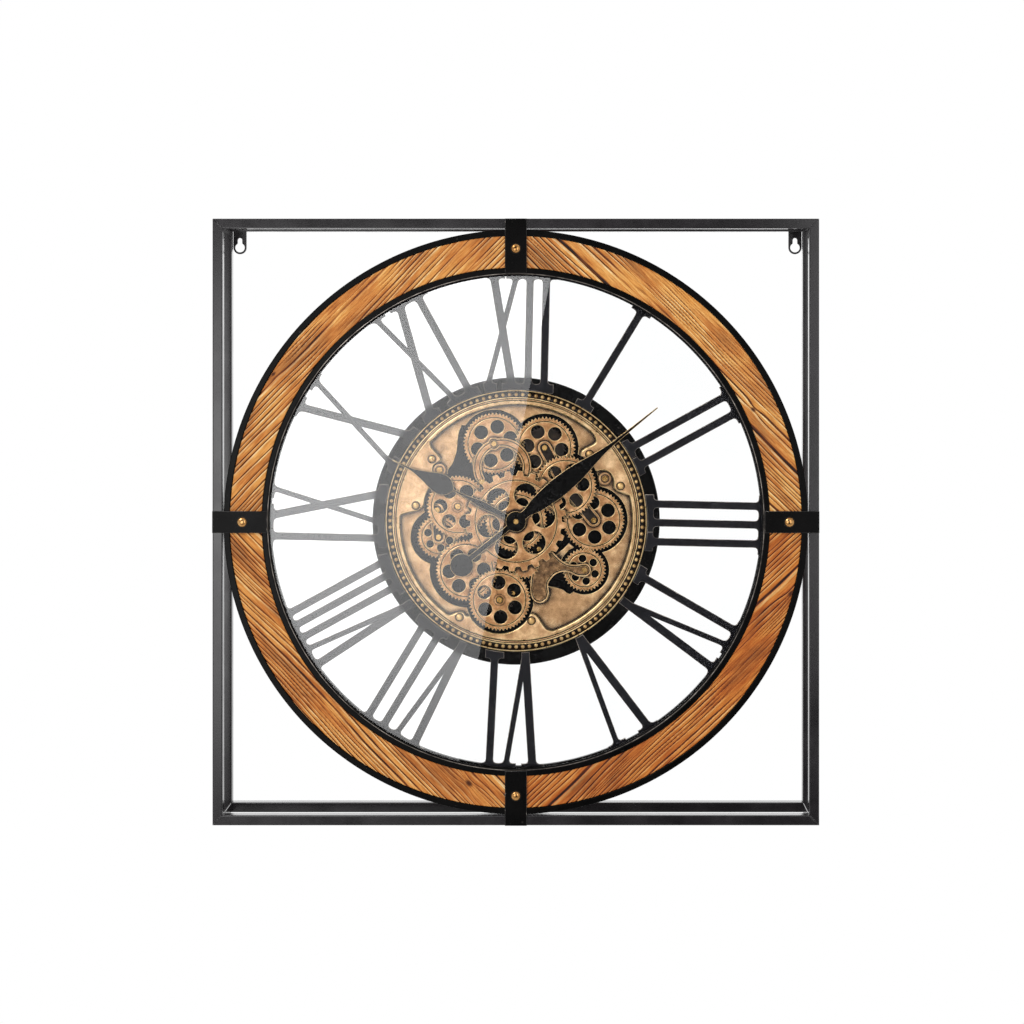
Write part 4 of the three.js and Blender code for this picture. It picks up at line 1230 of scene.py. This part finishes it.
def build_knob():
    """The setting knob with the ribs round its edge, and the slider of the switch."""
    front, back = low("setting_knob").y, high("setting_knob").y
    radius = high("setting_knob").x
    shape = Shape()
    shape.turned(softened(washer(radius - KNOB_RIB, 0, front, back), 0.6), steps=KNOB_STEPS)
    shape.turned(softened(washer(radius - KNOB_LEDGE, 0, back - 1, back - 0.02), 0.02), steps=KNOB_STEPS)
    piece("setting_knob_cap", shape, [ABS], "setting_knob", ["setting_knob"])
    sizes = {"Count": KNOB_RIBS, "Ring radius": (radius - KNOB_RIB) * MM, "Rib radius": KNOB_RIB * MM,
             "Rib length": (back - front - 1) * MM, "Depth": (front + back) / 2 * MM}
    ribs = grown("setting_knob_ribs", rib_tree(), sizes)
    piece("setting_knob_ribs", ribs, [], "setting_knob")
    shape = Shape()
    corner, far = low("drive_switch"), high("drive_switch")
    outer = filleted(box_loop("drive_switch"), 0.6)
    shape.plate([outer], corner.y, far.y, edge=0.2, back_edge=0.4, slots=PLAIN)
    piece("drive_switch_slider", shape, [ABS], "drive_switch", ["drive_switch"])


# What repeats: beads, rivets, granules, screws, ribs and welds
def new_tree(name, sizes, counts=()):
    """A geometry node tree with named inputs for its sizes and counts, and what those inputs give."""
    tree = bpy.data.node_groups.new(name, "GeometryNodeTree")
    kinds = {"Geometry": "NodeSocketGeometry"}
    kinds.update({size: "NodeSocketFloat" for size in sizes})
    kinds.update({count: "NodeSocketInt" for count in counts})
    for socket, kind in kinds.items():
        tree.interface.new_socket(socket, in_out="INPUT", socket_type=kind)
    tree.interface.new_socket("Geometry", in_out="OUTPUT", socket_type="NodeSocketGeometry")
    return tree, add(tree, "NodeGroupInput").outputs


def close_tree(tree, instances, finish, smooth=True):
    """Ends a tree in one real mesh with its finish."""
    real = add(tree, "GeometryNodeRealizeInstances", None, {"Geometry": instances})
    even = add(tree, "GeometryNodeSetShadeSmooth", None,
               {"Geometry": real.outputs["Geometry"], "Shade Smooth": smooth})
    coated = add(tree, "GeometryNodeSetMaterial", None,
                 {"Geometry": even.outputs["Geometry"], "Material": finish})
    add(tree, "NodeGroupOutput", None, {"Geometry": coated.outputs["Geometry"]})


def grown(name, tree, sizes, points=(), faces=()):
    """Runs a tree on points or faces and gives the result as an object with a plain mesh."""
    seeds = bpy.data.meshes.new(name + "_points")
    seeds.from_pydata([(x * MM, y * MM, z * MM) for x, y, z in points], [], faces)
    host = hung(name + "_host", seeds)
    modifier = host.modifiers.new(name, "NODES")
    modifier.node_group = tree
    for item in tree.interface.items_tree:
        if item.in_out == "INPUT" and item.name in sizes:
            modifier[item.identifier] = sizes[item.name]
    view = bpy.context.evaluated_depsgraph_get()
    mesh = bpy.data.meshes.new_from_object(host.evaluated_get(view))
    bpy.data.objects.remove(host)
    return hung(name, mesh)


def bead_tree():
    """Round beads on a circle about the axis of the hands."""
    tree, sizes = new_tree("bead_ring", ["Ring radius", "Bead radius", "Depth"], ["Count"])
    ring = add(tree, "GeometryNodeMeshCircle", None,
               {"Vertices": sizes["Count"], "Radius": sizes["Ring radius"]})
    shift = add(tree, "ShaderNodeCombineXYZ", None, {"Y": sizes["Depth"]})
    stood = add(tree, "GeometryNodeTransform", None, {
        "Geometry": ring.outputs["Mesh"], "Translation": shift.outputs["Vector"],
        "Rotation": (math.pi / 2, 0, 0)})
    bead = add(tree, "GeometryNodeMeshIcoSphere", None, {"Radius": sizes["Bead radius"], "Subdivisions": 2})
    spread = add(tree, "GeometryNodeInstanceOnPoints", None,
                 {"Points": stood.outputs["Geometry"], "Instance": bead.outputs["Mesh"]})
    close_tree(tree, spread.outputs["Instances"], GOLD)
    return tree


def dome_tree(name, finish):
    """Flat domes, half sunk in the face that carries them."""
    tree, sizes = new_tree(name, ["Head radius", "Head height"])
    ball = add(tree, "GeometryNodeMeshUVSphere", None, {"Segments": 16, "Rings": 8, "Radius": 1.0})
    flat = add(tree, "ShaderNodeCombineXYZ", None,
               {"X": sizes["Head radius"], "Y": sizes["Head height"], "Z": sizes["Head radius"]})
    dome = add(tree, "GeometryNodeTransform", None,
               {"Geometry": ball.outputs["Mesh"], "Scale": flat.outputs["Vector"]})
    spread = add(tree, "GeometryNodeInstanceOnPoints", None,
                 {"Points": sizes["Geometry"], "Instance": dome.outputs["Geometry"]})
    close_tree(tree, spread.outputs["Instances"], finish)
    return tree


def rib_tree():
    """Round ribs along y, spread on a circle about the axis of the hands."""
    tree, sizes = new_tree("rib_ring", ["Ring radius", "Rib radius", "Rib length", "Depth"], ["Count"])
    ring = add(tree, "GeometryNodeMeshCircle", None,
               {"Vertices": sizes["Count"], "Radius": sizes["Ring radius"]})
    rib = add(tree, "GeometryNodeMeshCylinder", None,
              {"Vertices": 12, "Radius": sizes["Rib radius"], "Depth": sizes["Rib length"]})
    spread = add(tree, "GeometryNodeInstanceOnPoints", None,
                 {"Points": ring.outputs["Mesh"], "Instance": rib.outputs["Mesh"]})
    shift = add(tree, "ShaderNodeCombineXYZ", None, {"Y": sizes["Depth"]})
    stood = add(tree, "GeometryNodeTransform", None, {
        "Geometry": spread.outputs["Instances"], "Translation": shift.outputs["Vector"],
        "Rotation": (math.pi / 2, 0, 0)})
    close_tree(tree, stood.outputs["Geometry"], ABS)
    return tree


def granule_tree():
    """Small grains scattered over a face, as a rough casting shows."""
    tree, sizes = new_tree("granules", ["Grain radius", "Spacing"])
    spots = add(tree, "GeometryNodeDistributePointsOnFaces", {"distribute_method": "POISSON"}, {
        "Mesh": sizes["Geometry"], "Distance Min": sizes["Spacing"], "Density Max": 9e5, "Seed": 5})
    grain = add(tree, "GeometryNodeMeshIcoSphere", None,
                {"Radius": sizes["Grain radius"], "Subdivisions": 2})
    size = add(tree, "FunctionNodeRandomValue", {"data_type": "FLOAT"}, {"Min": 0.6, "Max": 1.0, "Seed": 3})
    spread = add(tree, "GeometryNodeInstanceOnPoints", None, {
        "Points": spots.outputs["Points"], "Instance": grain.outputs["Mesh"],
        "Scale": size.outputs["Value"]})
    close_tree(tree, spread.outputs["Instances"], BRONZE_HAMMERED)
    return tree


def screw_tree(name, finish):
    """Round heads with a sawn slot, tilted to face the front or the back."""
    tree, sizes = new_tree(name, ["Head radius", "Head height", "Slot width", "Tilt"])
    head = add(tree, "GeometryNodeMeshCylinder", None,
               {"Vertices": 24, "Radius": sizes["Head radius"], "Depth": sizes["Head height"]})
    long = add(tree, "ShaderNodeMath", {"operation": "MULTIPLY"}, {0: sizes["Head radius"], 1: 2.4})
    size = add(tree, "ShaderNodeCombineXYZ", None,
               {"X": long.outputs["Value"], "Y": sizes["Slot width"], "Z": sizes["Head height"]})
    lift = add(tree, "ShaderNodeMath", {"operation": "MULTIPLY"}, {0: sizes["Head height"], 1: 0.6})
    place = add(tree, "ShaderNodeCombineXYZ", None, {"Z": lift.outputs["Value"]})
    saw = add(tree, "GeometryNodeMeshCube", None, {"Size": size.outputs["Vector"]})
    raised = add(tree, "GeometryNodeTransform", None,
                 {"Geometry": saw.outputs["Mesh"], "Translation": place.outputs["Vector"]})
    cut = add(tree, "GeometryNodeMeshBoolean", {"operation": "DIFFERENCE"},
              {"Mesh 1": head.outputs["Mesh"], "Mesh 2": raised.outputs["Geometry"]})
    way = add(tree, "ShaderNodeCombineXYZ", None, {"X": sizes["Tilt"]})
    fronted = add(tree, "GeometryNodeTransform", None,
                  {"Geometry": cut.outputs["Mesh"], "Rotation": way.outputs["Vector"]})
    turn = add(tree, "FunctionNodeRandomValue", {"data_type": "FLOAT"}, {"Min": 0.0, "Max": 3.14, "Seed": 7})
    spin = add(tree, "ShaderNodeCombineXYZ", None, {"Y": turn.outputs["Value"]})
    spread = add(tree, "GeometryNodeInstanceOnPoints", None, {
        "Points": sizes["Geometry"], "Instance": fronted.outputs["Geometry"],
        "Rotation": spin.outputs["Vector"]})
    close_tree(tree, spread.outputs["Instances"], finish, smooth=False)
    return tree


RIVET_RADIUS = 3.4
RIVET_HEIGHT = 1.9
GRANULE = 0.42
GRANULE_SPACING = 1.7
GRANULE_MARGIN = 3.2


def build_beads():
    """The beads of the bezel's band, its rivets and the granules on the cock."""
    sizes = {"Count": BEAD_COUNT, "Ring radius": BEAD_CIRCLE * MM, "Bead radius": BEAD_RADIUS * MM,
             "Depth": (rim_front + 0.3) * MM}
    piece("bead_ring", grown("bead_ring", bead_tree(), sizes), [], BODY)
    places = [(x, rim_front, z) for x, z in RIVETS]
    heads = {"Head radius": RIVET_RADIUS * MM, "Head height": RIVET_HEIGHT * MM}
    rivets = grown("rim_rivets", dome_tree("rivet_heads", GOLD), heads, places)
    piece("rim_rivets", rivets, [], BODY)
    for loop in outlines("bezel_plate", bridge_front):
        points = [(x, bridge_front + 0.3, z) for x, z in inset(loop, GRANULE_MARGIN)]
        sizes = {"Grain radius": GRANULE * MM, "Spacing": GRANULE_SPACING * MM}
        grains = grown("cock_granules", granule_tree(), sizes, points, [list(range(len(points)))])
        piece("cock_granules", grains, [], BODY)


SUNK_HEAD = 0.65
CASE_SCREW_INSET = 4


def add_screws(name, spots, radius, height, slot, finish, tilt=math.pi / 2):
    """Slotted screws at some places; they face the front unless tilted the other way."""
    heads = {"Head radius": radius * MM, "Head height": height * MM, "Slot width": slot * MM, "Tilt": tilt}
    screws = grown(name, screw_tree(f"{name}_heads", finish), heads, spots)
    piece(name, screws, [], BODY)


def build_screws():
    """Slotted screws; those on the bridges' pillars are sunk, since a wheel turns in front of them."""
    names = ("top_right", "right", "left_lower", "lower_right", "top_left")
    covered = [pivot(f"{name}_wheel_turn") for name in names]
    bare = [pivot("bottom_left_wheel_turn")]
    front_end, bridge_end = post_depths()
    pillars = [place for place in posts_at(bridge_end)
               if all(math.dist(place, other) > 2 for other in covered + bare)]
    spots = [(x, bridge_front, z) for x, z in covered]
    spots += [(x, bridge_front + SUNK_HEAD, z) for x, z in pillars]
    spots += [(x, front_end - 0.3, z) for x, z in posts_at(front_end)]
    spots += [(x, bridge_end - 0.3, z) for x, z in bare]
    spots += [(x, sheet_front - 1.2, z) for x, z in LUGS]
    add_screws("arbor_screws", spots, radius=2.6, height=1.6, slot=0.7, finish=BRASS)
    spots = [(x, floor_front - 0.4, z) for x, z in PAN_SCREWS]
    add_screws("pan_screws", spots, radius=2.2, height=1.2, slot=0.6, finish=BRASS)
    for node in ("movement_case", "drive_case"):
        corner, far = low(node), high(node)
        across = (corner.x + CASE_SCREW_INSET, far.x - CASE_SCREW_INSET)
        up = (corner.z + CASE_SCREW_INSET, far.z - CASE_SCREW_INSET)
        spots = [(x, far.y - 0.5, z) for x in across for z in up]
        add_screws(f"{node}_screws", spots, radius=1.9, height=1.0, slot=0.5, finish=TIN, tilt=-math.pi / 2)


WELD_STEPS = (1.5, 3.2, 4.9)
WELD_RADIUS = 1.2
WELD_HEIGHT = 0.3


def build_welds():
    """Short rows of weld beads in the inner corners of both frames."""
    inner = frame_half - TUBE
    spots = []
    for node in ("front_frame", "rear_frame"):
        for side, up in ((-1, 1), (1, 1), (-1, -1), (1, -1)):
            spots += [(side * (inner + step), low(node).y, up * (inner + step)) for step in WELD_STEPS]
    heads = {"Head radius": WELD_RADIUS * MM, "Head height": WELD_HEIGHT * MM}
    beads = grown("weld_beads", dome_tree("weld_beads", STEEL), heads, spots)
    piece("weld_beads", beads, [], BODY)


# Stage, lights and camera
FLOOR_DROP = 1100
FLOOR_SIDE = 4000
FLOOR_NEAR = -1200
FLOOR_FAR = 1500


def build_floor():
    """A plain pale floor well below the clock, where its shadow falls."""
    shape = Shape()
    near = [(x, FLOOR_NEAR, -FLOOR_DROP) for x in (-FLOOR_SIDE, FLOOR_SIDE)]
    far = [(x, FLOOR_FAR, -FLOOR_DROP) for x in (FLOOR_SIDE, -FLOOR_SIDE)]
    shape.face(shape.put(near + far), 0, False)
    stops = [(0.3, "#ececea"), (0.7, "#f2f2f0")]
    paint = mottled("pale_matt_floor", 0.0, stops, spot=300, rough=(0.8, 0.9), grit=5, relief=0.05)[0]
    finished("floor", shape, [paint])


def light_world():
    """Even studio light, with a dark gap round the lens so that the glass stays clear.

    Mirrors see a brighter white sweep behind the clock, and what is seen straight through glass is white.
    """
    world = bpy.data.worlds.new("studio")
    bpy.context.scene.world = world
    world.use_nodes = True
    tree = world.node_tree
    way = add(tree, "ShaderNodeTexCoord").outputs["Generated"]
    parts = add(tree, "ShaderNodeSeparateXYZ", None, {"Vector": way})
    gap = add(tree, "ShaderNodeMapRange", {"interpolation_type": "SMOOTHSTEP"}, {
        "Value": parts.outputs["Y"], "From Min": -0.97, "From Max": -0.8, "To Min": 0.02, "To Max": 0.75})
    path = add(tree, "ShaderNodeLightPath").outputs
    behind = add(tree, "ShaderNodeMath", {"operation": "GREATER_THAN"}, {0: parts.outputs["Y"], 1: 0.0})
    mirrored = add(tree, "ShaderNodeMath", {"operation": "MULTIPLY"},
                   {0: behind.outputs["Value"], 1: path["Is Glossy Ray"]})
    turns = add(tree, "ShaderNodeMath", {"operation": "ADD"},
                {0: path["Glossy Depth"], 1: path["Diffuse Depth"]})
    straight = add(tree, "ShaderNodeMath", {"operation": "LESS_THAN"}, {0: turns.outputs["Value"], 1: 0.5})
    through = add(tree, "ShaderNodeMath", {"operation": "MULTIPLY"},
                  {0: straight.outputs["Value"], 1: path["Is Transmission Ray"]})
    white = add(tree, "ShaderNodeMath", {"operation": "MAXIMUM"},
                {0: path["Is Camera Ray"], 1: through.outputs["Value"]})
    sweep = add(tree, "ShaderNodeMapRange", None, {
        "Value": parts.outputs["Z"], "From Min": -0.3, "From Max": 0.1, "To Min": 1.0, "To Max": 2.2})
    shown = add(tree, "ShaderNodeMix", {"data_type": "FLOAT"},
                {"Factor": path["Is Transmission Ray"], "A": 1.0, "B": 1.1})
    lit = add(tree, "ShaderNodeMix", {"data_type": "FLOAT"}, {
        "Factor": mirrored.outputs["Value"], "A": gap.outputs["Result"], "B": sweep.outputs["Result"]})
    level = add(tree, "ShaderNodeMix", {"data_type": "FLOAT"},
                {"Factor": white.outputs["Value"], "A": lit.outputs["Result"], "B": shown.outputs["Result"]})
    tree.links.new(level.outputs["Result"], tree.nodes["Background"].inputs["Strength"])
    tree.nodes["Background"].inputs["Color"].default_value = (1, 1, 1, 1)


def area_lamp(name, place, target, width, height, power):
    """A soft rectangular lamp that faces a point; places in metres.

    It lights a face directly, and not a second time through the glass after a matt bounce.
    """
    data = bpy.data.lights.new(name, "AREA")
    data.shape = "RECTANGLE"
    data.size = width
    data.size_y = height
    data.energy = power
    data.use_nodes = True
    tree = data.node_tree
    bounces = add(tree, "ShaderNodeLightPath").outputs["Diffuse Depth"]
    first = add(tree, "ShaderNodeMath", {"operation": "LESS_THAN"}, {0: bounces, 1: 0.5})
    tree.links.new(first.outputs["Value"], tree.nodes["Emission"].inputs["Strength"])
    lamp = bpy.data.objects.new(name, data)
    lamp.location = place
    lamp.rotation_euler = (Vector(target) - Vector(place)).to_track_quat("-Z", "Y").to_euler()
    bpy.context.scene.collection.objects.link(lamp)
    return lamp


def light_clock():
    """A key lamp from the upper left, and a tall fill that the right side of the frame mirrors."""
    area_lamp("key_softbox", place=(-1.3, -1.7, 1.5), target=(0, 0, 0), width=1.1, height=1.1, power=26)
    area_lamp("fill_softbox", place=(1.0, -2.4, 0.2), target=(1.0, 0, 0.2), width=0.76, height=1.5, power=9)


# The softbox behind the lens, in metres: the two ends of its slanted edge as (x, z), and the middle of
# its dimmer core
GLARE_DEPTH = -2.5
GLARE_EDGE = ((0.0109, 0.325), (-0.1532, -0.5425))
GLARE_WIDTH = 0.98
GLARE_LENGTH = 1.9
GLARE_POWER = 26
GLARE_TOP = 0.345
GLARE_BOTTOM = -0.835
GLARE_CORE = (-0.07, GLARE_DEPTH, -0.246)
CORE_RADIUS = 0.328
CORE_BLUR = 0.015
CORE_SHARE = 0.46


def light_glare():
    """A tall softbox whose slanted edge the glass mirrors across the left half of the dial.

    Its core, which is mirrored over the wheels, is dimmer than the rest.
    """
    (top_x, top_z), (low_x, low_z) = GLARE_EDGE
    lean = math.atan2(top_x - low_x, top_z - low_z)
    across = Vector((math.cos(lean), 0, -math.sin(lean)))
    middle_edge = Vector(((top_x + low_x) / 2, GLARE_DEPTH, (top_z + low_z) / 2))
    centre = middle_edge - across * (GLARE_WIDTH / 2)
    ahead = centre + Vector((0, 1, 0))
    lamp = area_lamp("window_softbox", centre, ahead, GLARE_WIDTH, GLARE_LENGTH, GLARE_POWER)
    lamp.rotation_euler = (math.pi / 2, 0, 0)
    lamp.rotation_euler.rotate_axis("Z", -lean)
    tree = lamp.data.node_tree
    where = add(tree, "ShaderNodeNewGeometry").outputs["Position"]
    height = add(tree, "ShaderNodeSeparateXYZ", None, {"Vector": where}).outputs["Z"]
    share = add(tree, "ShaderNodeMapRange", None, {
        "Value": height, "From Min": GLARE_BOTTOM, "From Max": GLARE_TOP})
    fade = add(tree, "ShaderNodeValToRGB", {"stops": [
        (0.0, "#000000"), (0.02, "#a6a6a6"), (0.3, "#e1e1e1"), (0.55, "#f8f8f8"), (0.98, "#d2d2d2"),
        (1.0, "#000000")]},
        {"Fac": share.outputs["Result"]})
    reach = add(tree, "ShaderNodeVectorMath", {"operation": "DISTANCE"}, {0: where, 1: GLARE_CORE})
    level = add(tree, "ShaderNodeMapRange", None, {
        "Value": reach.outputs["Value"], "From Min": CORE_RADIUS, "From Max": CORE_RADIUS + CORE_BLUR,
        "To Min": CORE_SHARE})
    emission = tree.nodes["Emission"].inputs
    first = emission["Strength"].links[0].from_socket
    dimmed = add(tree, "ShaderNodeMath", {"operation": "MULTIPLY"}, {0: first, 1: level.outputs["Result"]})
    tree.links.new(fade.outputs["Color"], emission["Color"])
    tree.links.new(dimmed.outputs["Value"], emission["Strength"])


def build_camera():
    data = bpy.data.cameras.new("camera")
    data.sensor_width = 36
    data.lens = 64.73
    data.shift_x = -0.0556
    data.shift_y = -0.1719
    camera = bpy.data.objects.new("camera", data)
    camera.location = (0.0525, -1.880, 0.1839)
    camera.rotation_euler = (math.pi / 2, 0, 0)
    bpy.context.scene.collection.objects.link(camera)
    bpy.context.scene.camera = camera


build_frame()
build_hoops()
build_pane()
build_glazing_bead()
for seed, node in enumerate(sorted(BOARDS)):
    build_board(node, GRAIN_SEED * (seed + 1))
build_straps()
build_numerals()
build_dial()
build_bezel()
build_bridges()
for node in [name for name in frame["nodes"] if name.endswith("_wheel")] + ["drive_pinion"]:
    build_wheel(node)
build_hands()
build_case("movement_case")
build_case("drive_case")
build_cell("movement_cell")
build_cell("drive_cell")
build_knob()
build_beads()
build_screws()
build_welds()
build_floor()
light_world()
light_clock()
light_glare()
build_camera()
bpy.context.scene.view_settings.view_transform = "Standard"
